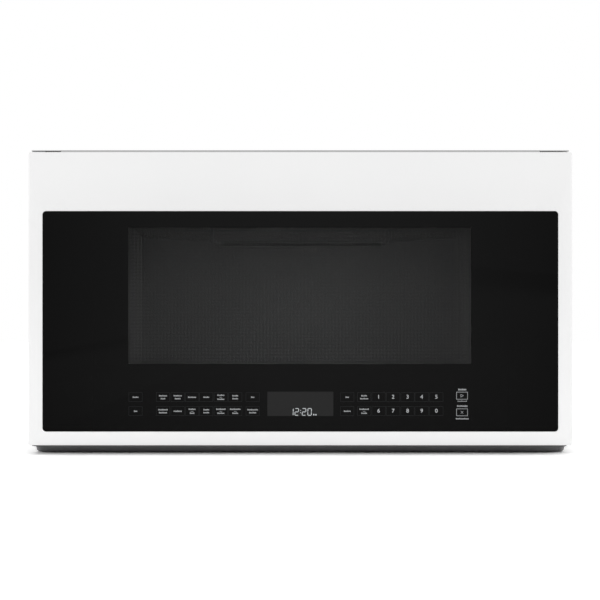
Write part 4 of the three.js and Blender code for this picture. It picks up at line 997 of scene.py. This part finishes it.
# %% Air slots in the cavity's back
slot_pitch = 4.6
slots = [6.4 + slot_pitch * place for place in range(5)]
back_wall = carved(copy_of("cavity_back"), [block((x - 0.7, x + 0.7), (-30, 0), (81.0, 87.5)) for x in slots])
piece("cavity_back_slotted", back_wall, "cabinet", "cavity_enamel", ("cavity_back",), sharp=20)
louvres = row_of_bars(len(slots), (slots[0] + 1.3, -16.0, 84.2), (slot_pitch, 0, 0), (0.9, 0.5, 6.5), "cavity_enamel",
                      (0.0, 0.0, math.radians(-25)))
piece("cavity_louvres", louvres, "cabinet", "cavity_enamel")

# %% [markdown]
# ## The base pan
# The charcoal pan closes the cabinet from below and shows as a dark band under the door. Its front
# corners sweep back in a wide curve under a narrow square rim, and its sides draw in towards the
# bottom. Rings from the inner floor over the rim and down outside make the whole pan in one loft.

# %% A pressed pan with swept corners
def plan_ring(x, y, front_radius, rear_radius, z, steps=8):
    ring = []
    corners = [(x[1] - front_radius, y[0] + front_radius, front_radius, -90),
               (x[1] - rear_radius, y[1] - rear_radius, rear_radius, 0),
               (x[0] + rear_radius, y[1] - rear_radius, rear_radius, 90),
               (x[0] + front_radius, y[0] + front_radius, front_radius, 180)]
    for middle_x, middle_y, radius, start in corners:
        for step in range(steps + 1):
            angle = math.radians(start + 90 * step / steps)
            ring.append((middle_x + radius * math.cos(angle), middle_y + radius * math.sin(angle), z))
    return ring


pan_x, pan_y, pan_z = span("base_pan")
sweep = 22.0


def pan_ring(side, nose, height, radius=sweep):
    return plan_ring(grown(pan_x, -side), (pan_y[0] + nose, pan_y[1] - min(side, 1.5)), radius, 2.0,
                     pan_z[0] + height)


rim = 8.4
pan = loft([
    pan_ring(7.6, 4.6, 1.5), pan_ring(4.8, 3.4, 2.0), pan_ring(2.8, 2.2, 4.4), pan_ring(1.5, 1.5, rim - 0.2),
    pan_ring(1.5, 1.5, rim + 1.5), pan_ring(1.5, 1.5, rim + 1.6, 4.0), pan_ring(1.5, 1.5, 16.0, 4.0),
    pan_ring(0.0, 0.0, 16.0, 4.0), pan_ring(0.0, 0.0, rim + 0.1, 4.0), pan_ring(0.0, 0.0, rim),
    pan_ring(0.5, 0.2, 5.6), pan_ring(1.2, 0.7, 2.8), pan_ring(2.0, 1.4, 1.2), pan_ring(3.2, 2.6, 0.3),
    pan_ring(5.0, 4.0, 0.0),
])
filter_y = span("grease_filter_left")[1]
lens_x, lens_y, lens_z = span("lamp_lens")
through_floor = (pan_z[0] - 1, pan_z[0] + 3)
openings = [block(grown(span(node)[0], 0.3), (filter_y[0] - 0.3, filter_y[1] + 3), through_floor)
            for node in ("grease_filter_left", "grease_filter_right")]
openings.append(block(grown(lens_x, 0.3), (lens_y[0] - 0.3, lens_y[1] + 3), through_floor))
hinge_x, hinge_y, hinge_z = span("hinge_lower")
openings.append(block(grown(hinge_x, 0.3), (pan_y[0] - 1, hinge_y[1] + 0.5), (hinge_z[0] - 0.3, pan_z[1] + 1)))
pan_seats = [(x, y) for x in (-345.0, 0.0, 345.0) for y in (-80.0, -30.0)] + [(-345.0, -310.0), (345.0, -310.0)]
openings += [rod("z", seat, 4.3, through_floor, 20) for seat in pan_seats]
pressed = piece("pressed_pan", carved(pan, openings), "cabinet", "charcoal_paint", ("base_pan",), sharp=30)
powder = Finish("pan_powder")
# The pan's bottom few millimetres are darkened almost to black: painted shade where the base meets the floor.
painted_foot_shade = powder.between("Z", pan_z[0] + 3.2, pan_z[0] + 1.2)
upper_tone = powder.mix(powder.noise(120, 1.0), shade("414143"), shade("474748"))
powder.close(powder.mix(painted_foot_shade, upper_tone, shade("121213")), 0.34 + 0.10 * powder.noise(25), coat=0.9,
             coat_gloss=0.25, normal=powder.relief(powder.noise(0.8, 3.0), 0.02))
pressed.data.materials[0] = powder.material

# %% [markdown]
# ## The grill element
# A metal tube with the heating wire inside is bent into a loop and hung under the ceiling. A tree
# rounds the corners of a line and sweeps a circle along it, which keeps the tube's width at bends.

# %% A tree that bends a tube along a line
tubes = geometry_tree("bent_tube", Bend="Float", Radius="Float", Finish="Material")
tube_line = tubes.add("GeometryNodeMeshToCurve", inputs={"Mesh": given(tubes, "Geometry")})
tube_bent = tubes.add("GeometryNodeFilletCurve", {"mode": "POLY"}, {
    "Curve": tube_line, "Count": 10, "Radius": given(tubes, "Bend"), "Limit Radius": True})
tube_round = tubes.add("GeometryNodeCurvePrimitiveCircle", inputs={
    "Resolution": 16, "Radius": given(tubes, "Radius")})
finished(tubes, tubes.add("GeometryNodeCurveToMesh", inputs={
    "Curve": tube_bent, "Profile Curve": tube_round, "Fill Caps": True}))


def bent_tube(points, bend_radius, radius, slot):
    line = mesh_of(points, [])
    line.edges.add(len(points) - 1)
    line.edges.foreach_set("vertices", [number for step in range(len(points) - 1) for number in (step, step + 1)])
    return outward(run(tubes, line, Bend=bend_radius * MM, Radius=radius * MM, Finish=finishes[slot]))


# %% The loop under the ceiling
loop_x, loop_y, loop_z = span("grill_element")
tube = 3.2
near, far = loop_y[0] + tube, loop_y[1] - tube
level = loop_z[0] + tube
reach = 130.0
loop = bent_tube([(-reach, near, loop_z[1]), (-reach, near, level), (-reach, far, level),
                  (reach, far, level), (reach, near, level), (reach, near, loop_z[1])], 18, tube, "steel")
sheath = Finish("burnt_sheath")
burnt = sheath.between("Y", near, near + 60)
sheath.close(sheath.mix(burnt, shade("77777A"), shade("161617")), 0.45 + 0.1 * sheath.noise(40), metal=0.3,
             normal=sheath.relief(sheath.noise(0.9), 0.02))
piece("grill_loop", loop, "cabinet", "steel", ("grill_element",), sharp=60).data.materials[0] = sheath.material

# %% [markdown]
# ## The glass tray
# The tray is pressed glass, round and dished, with a foot ring underneath. Its outline is turned
# about the turntable's axis.

# %% Turned shapes
def turned(profile, centre, sides=96):
    """Rings of (radius, height) about an upright axis, from one pole to the other."""
    rings = [[(centre[0] + u, centre[1] + v, height) for u, v in circle(max(radius, 0.01), sides)]
             for radius, height in profile]
    return loft(rings)


tray_x, tray_y, tray_z = span("glass_tray")
tray_radius = tray_x[1]
low = tray_z[0]
tray = turned([
    (0, low + 1.2), (60, low + 1.2), (62, low + 0.2), (64, low), (67, low), (69, low + 0.2), (71, low + 1.2),
    (128, low + 1.2), (134, low + 1.8), (150, low + 7.2), (155, low + 8.8), (156.15, low + 9.6),
    (155.6, low + 10.7), (154.2, low + 11.0), (152.6, low + 10.4), (148, low + 9.2), (134, low + 6.0),
    (128, low + 5.2), (60, low + 5.0), (58, low + 5.5), (54, low + 5.5), (52, low + 5.0), (0, low + 5.0),
], (0.0, (tray_y[0] + tray_y[1]) / 2))
piece("turntable_dish", tray, "tray", "clear_glass", ("glass_tray",), sharp=50)
print("tray radius", tray_radius)

# %% [markdown]
# ## The convection cover
# Hot air passes a round plate with a few hundred holes. The tree sets a small circle on each point
# of a grid, fills the space between them and the rim, and a Solidify gives the plate its thickness.

# %% A tree that perforates a disc
holes = geometry_tree("perforated_disc", Rim="Float", Hole="Float", Finish="Material")
hole_ring = holes.add("GeometryNodeCurvePrimitiveCircle", inputs={"Resolution": 8, "Radius": given(holes, "Hole")})
hole_rings = holes.add("GeometryNodeInstanceOnPoints", inputs={
    "Points": given(holes, "Geometry"), "Instance": hole_ring})
rim_ring = holes.add("GeometryNodeCurvePrimitiveCircle", inputs={"Resolution": 96, "Radius": given(holes, "Rim")})
hole_lines = holes.add("GeometryNodeRealizeInstances", inputs={"Geometry": hole_rings})
hole_join = holes.add("GeometryNodeJoinGeometry", inputs={"Geometry": [rim_ring, hole_lines]})
finished(holes, holes.add("GeometryNodeFillCurve", inputs={"Curve": hole_join}))


def hole_grid(radius, pitch):
    points = []
    rows = int(radius / (pitch * 0.866)) + 1
    for row in range(-rows, rows + 1):
        for column in range(-rows - 1, rows + 2):
            x = (column + 0.5 * (row % 2)) * pitch
            y = row * pitch * 0.866
            if math.hypot(x, y) < radius:
                points.append((x, y, 0))
    return points


# %% The perforated cover
cover_x, cover_y, cover_z = span("convection_cover")
hole_places = hole_grid(79.0, 7.0)
disc = run(holes, mesh_of(hole_places, []), Rim=91 * MM, Hole=2.3 * MM, Finish=finishes["cavity_enamel"])
turn = Matrix.Rotation(math.pi / 2, 4, "Y")
seat = Vector((sum(cover_x) / 2, sum(cover_y) / 2, sum(cover_z) / 2)) * MM
disc.transform(Matrix.Translation(seat) @ turn)
cover = piece("convection_plate", disc, "cabinet", "cavity_enamel", ("convection_cover",))
thickness = cover.modifiers.new("sheet", "SOLIDIFY")
thickness.thickness = 0.9 * MM
thickness.offset = 0.0
print(len(hole_places), "holes in the cover")

# %% [markdown]
# ## Under the cabinet
# Two grease filters and a lamp lens face the cooktop. A filter is a pressed aluminium frame round
# layers of mesh; the lens is ribbed glass. Both are seen from the kitchen only by a cook who bends
# down, and from the cooktop's side in every picture taken from below.

# %% Grease filters
def grease_filter(node):
    x, y, z = span(node)
    rim = 9.0
    outer = [(x[0], y[0]), (x[1], y[0]), (x[1], y[1]), (x[0], y[1])]
    def ring(inset, height):
        signs = [(1, 1), (-1, 1), (-1, -1), (1, -1)]
        return [(u + inset * a, v + inset * b, height) for (u, v), (a, b) in zip(outer, signs)]
    rails = loft([ring(0.4, z[0]), ring(0, z[0] + 0.4), ring(0, z[1] - 0.4), ring(0.4, z[1]),
                  ring(rim, z[1]), ring(rim + 0.6, z[1] - 0.8), ring(rim + 0.6, z[0] + 0.8), ring(rim, z[0])],
                 closed=True)
    width, depth = x[1] - x[0] - 2 * rim, y[1] - y[0] - 2 * rim
    layers = []
    for height, pitch in ((z[0] + 1.6, 4.0), (z[0] + 3.8, 5.0)):
        across, along = int(width / pitch), int(depth / pitch)
        layers.append(row_of_bars(across, (x[0] + rim + pitch / 2, sum(y) / 2, height), (width / across, 0, 0),
                                  (1.1, depth, 0.7), "aluminium"))
        layers.append(row_of_bars(along, (sum(x) / 2, y[0] + rim + pitch / 2, height + 0.7), (0, depth / along, 0),
                                  (width, 1.1, 0.7), "aluminium"))
    tab = block((sum(x) / 2 - 12, sum(x) / 2 + 12), (y[0] + 7, y[0] + 16), (z[0] + 1.0, z[0] + 1.8))
    piece(node + "_dressed", joined([rails, tab] + layers), node, "aluminium", (node,))


for node in ("grease_filter_left", "grease_filter_right"):
    grease_filter(node)

# %% Lamp lens with ribs
lens = [block(lens_x, lens_y, (lens_z[0] + 0.7, lens_z[1]))]
lens.append(row_of_bars(21, (lens_x[0] + 4.2, sum(lens_y) / 2, lens_z[0] + 0.75), (4.08, 0, 0),
                        (1.6, lens_y[1] - lens_y[0] - 5, 1.0), "clear_glass", (0.0, 0.0, 0.0)))
piece("lamp_lens_ribbed", joined(lens), "lamp_lens", "clear_glass", ("lamp_lens",))

# %% [markdown]
# ## Screws
# The rear panel is held by pan-head screws, and the wrap's sides and the pan by the same screws sunk
# flush with the sheet. The head is a low dome with a cross recess, drawn once and stamped wherever a
# screw sits.

# %% One screw head, many screws
def screw_head(radius, height):
    """A pan head that faces -Y, with a cross sunk into it."""
    profile = [(radius, 0.0), (radius, height * 0.45), (radius * 0.9, height * 0.75), (radius * 0.6, height * 0.95),
               (radius * 0.2, height)]
    head = loft([[(u, -rise, v) for u, v in circle(size, 16)] for size, rise in profile])
    long, thin = radius * 0.55, radius * 0.13
    corner = [(long, -thin), (long, thin), (thin, thin)]
    cross = [point for turn in ((1, 0), (0, 1), (-1, 0), (0, -1))
             for point in [(u * turn[0] - v * turn[1], u * turn[1] + v * turn[0]) for u, v in corner]]
    return carved(head, [loft([[(u, depth, v) for u, v in cross] for depth in (-height - 1, -height * 0.35)])])


rear_face = span("rear_panel")[1][1]
turned_back = (0.0, 0.0, math.pi)
marks = [((x, rear_face, z), (1.0, 1.0, 1.0), turned_back) for x in (-368, -180, 180, 368) for z in (-189, 203)]
marks += [((x, rear_face, z), (1.0, 1.0, 1.0), turned_back) for x in (-368, 368) for z in (-60, 70)]
marks += [((side * (half - 1.8), y, z), (1.0, 1.0, 1.0), (0.0, 0.0, side * math.pi / 2))
          for side in (-1, 1) for y, z in screw_seats]
marks += [((x, y, pan_z[0] + 1.8), (1.0, 1.0, 1.0), (math.pi / 2, 0.0, 0.0)) for x, y in pan_seats]
screws = piece("cabinet_screws", stamped(screw_head(4.0, 1.6), marks, "steel"), "cabinet", "steel")
screws.data.materials[0] = black_steel
print(len(marks), "screws on the back, the sides and the pan,", len(screws.data.polygons), "faces")

# %% [markdown]
# ## Floor, light and camera
# The oven stands on a white floor in a white room. The room lights it evenly from everywhere, two
# soft lamps add a little shape, and the floor keeps the shadow under the base. The camera looks
# straight at the front from almost three metres, as a catalogue picture does.

# %% White floor
def studio_floor(height):
    reach = 6000
    ground = helper(mesh_of([(-reach, -reach, height), (reach, -reach, height), (reach, reach, height),
                             (-reach, reach, height)], [(0, 1, 2, 3)]))
    ground.name = "studio_floor"
    cover = Finish("studio_floor")
    tone = cover.mix(cover.noise(400), shade("FBFBFB"), shade("FDFDFD"))
    path = cover.tree.nodes.new("ShaderNodeLightPath").outputs
    direct = cover.math("MAXIMUM", Wire(cover, path["Is Camera Ray"]), Wire(cover, path["Is Transmission Ray"]))
    mirrored = cover.mix(Wire(cover, path["Is Glossy Ray"]), tone, [1.05, 1.05, 1.05, 1.0])
    shown = cover.mix(direct, mirrored, [1.45, 1.45, 1.45, 1.0])
    matt = cover.add("ShaderNodeBsdfDiffuse", inputs={"Color": shown})
    cover.add("ShaderNodeOutputMaterial", inputs={"Surface": matt})
    ground.data.materials.append(cover.material)


studio_floor(cad_box[0][2] / MM - 0.5)

# %% White room and two soft lamps
scene = bpy.context.scene
scene.view_settings.view_transform = "Standard"
scene.world = bpy.data.worlds.new("white_room")
scene.world.use_nodes = True
room = Board(scene.world.node_tree)
room.tree.nodes.clear()
path = room.tree.nodes.new("ShaderNodeLightPath").outputs
seen = room.math("MAXIMUM", Wire(room, path["Is Camera Ray"]),
                 room.math("MAXIMUM", Wire(room, path["Is Glossy Ray"]), Wire(room, path["Is Transmission Ray"])))
lighting = room.add("ShaderNodeBackground", inputs={"Color": [1, 1, 1, 1], "Strength": 0.80})
white = room.add("ShaderNodeBackground", inputs={"Color": [1, 1, 1, 1], "Strength": 1.0})
shown = room.add("ShaderNodeMixShader", inputs={0: seen, 1: lighting, 2: white})
room.add("ShaderNodeOutputWorld", inputs={"Surface": shown})


def soft_lamp(name, place, target, width, height, power, mirrored=False, spread=180):
    lamp = bpy.data.lights.new(name, "AREA")
    lamp.shape = "RECTANGLE"
    lamp.size = width
    lamp.size_y = height
    lamp.energy = power
    lamp.spread = math.radians(spread)
    thing = bpy.data.objects.new(name, lamp)
    thing.location = place
    thing.rotation_euler = (Vector(target) - Vector(place)).to_track_quat("-Z", "Y").to_euler()
    thing.visible_glossy = mirrored
    thing.visible_camera = False
    bpy.context.collection.objects.link(thing)


door_middle = (0.0, -0.4, 0.0)
for side, name in ((-1, "left"), (1, "right")):
    soft_lamp("side_lamp_" + name, (side * 2.6, -1.9, 0.55), door_middle, 1.6, 1.0, 15.0, True)
    soft_lamp("cavity_lamp_" + name, (0.0, -0.19, 0.0), (side, -0.13, 0.0), 0.3, 0.14, 0.15)
soft_lamp("top_lamp", (0.0, -0.8, 3.0), door_middle, 1.0, 1.0, 8.0, True)
soft_lamp("low_lamp", (0.0, -1.3, -0.16), (0.0, -0.4, -0.2), 1.4, 0.06, 0.14, False, 34)

# %% Camera
eye = bpy.data.cameras.new("eye")
eye.lens = 103.2
eye.sensor_width = 36
eye.shift_x = -0.0006
eye.clip_end = 50
viewer = bpy.data.objects.new("eye", eye)
viewer.location = (0, -2.804, 0.0029)
viewer.rotation_euler = (math.pi / 2, 0, 0)
bpy.context.collection.objects.link(viewer)
scene.camera = viewer
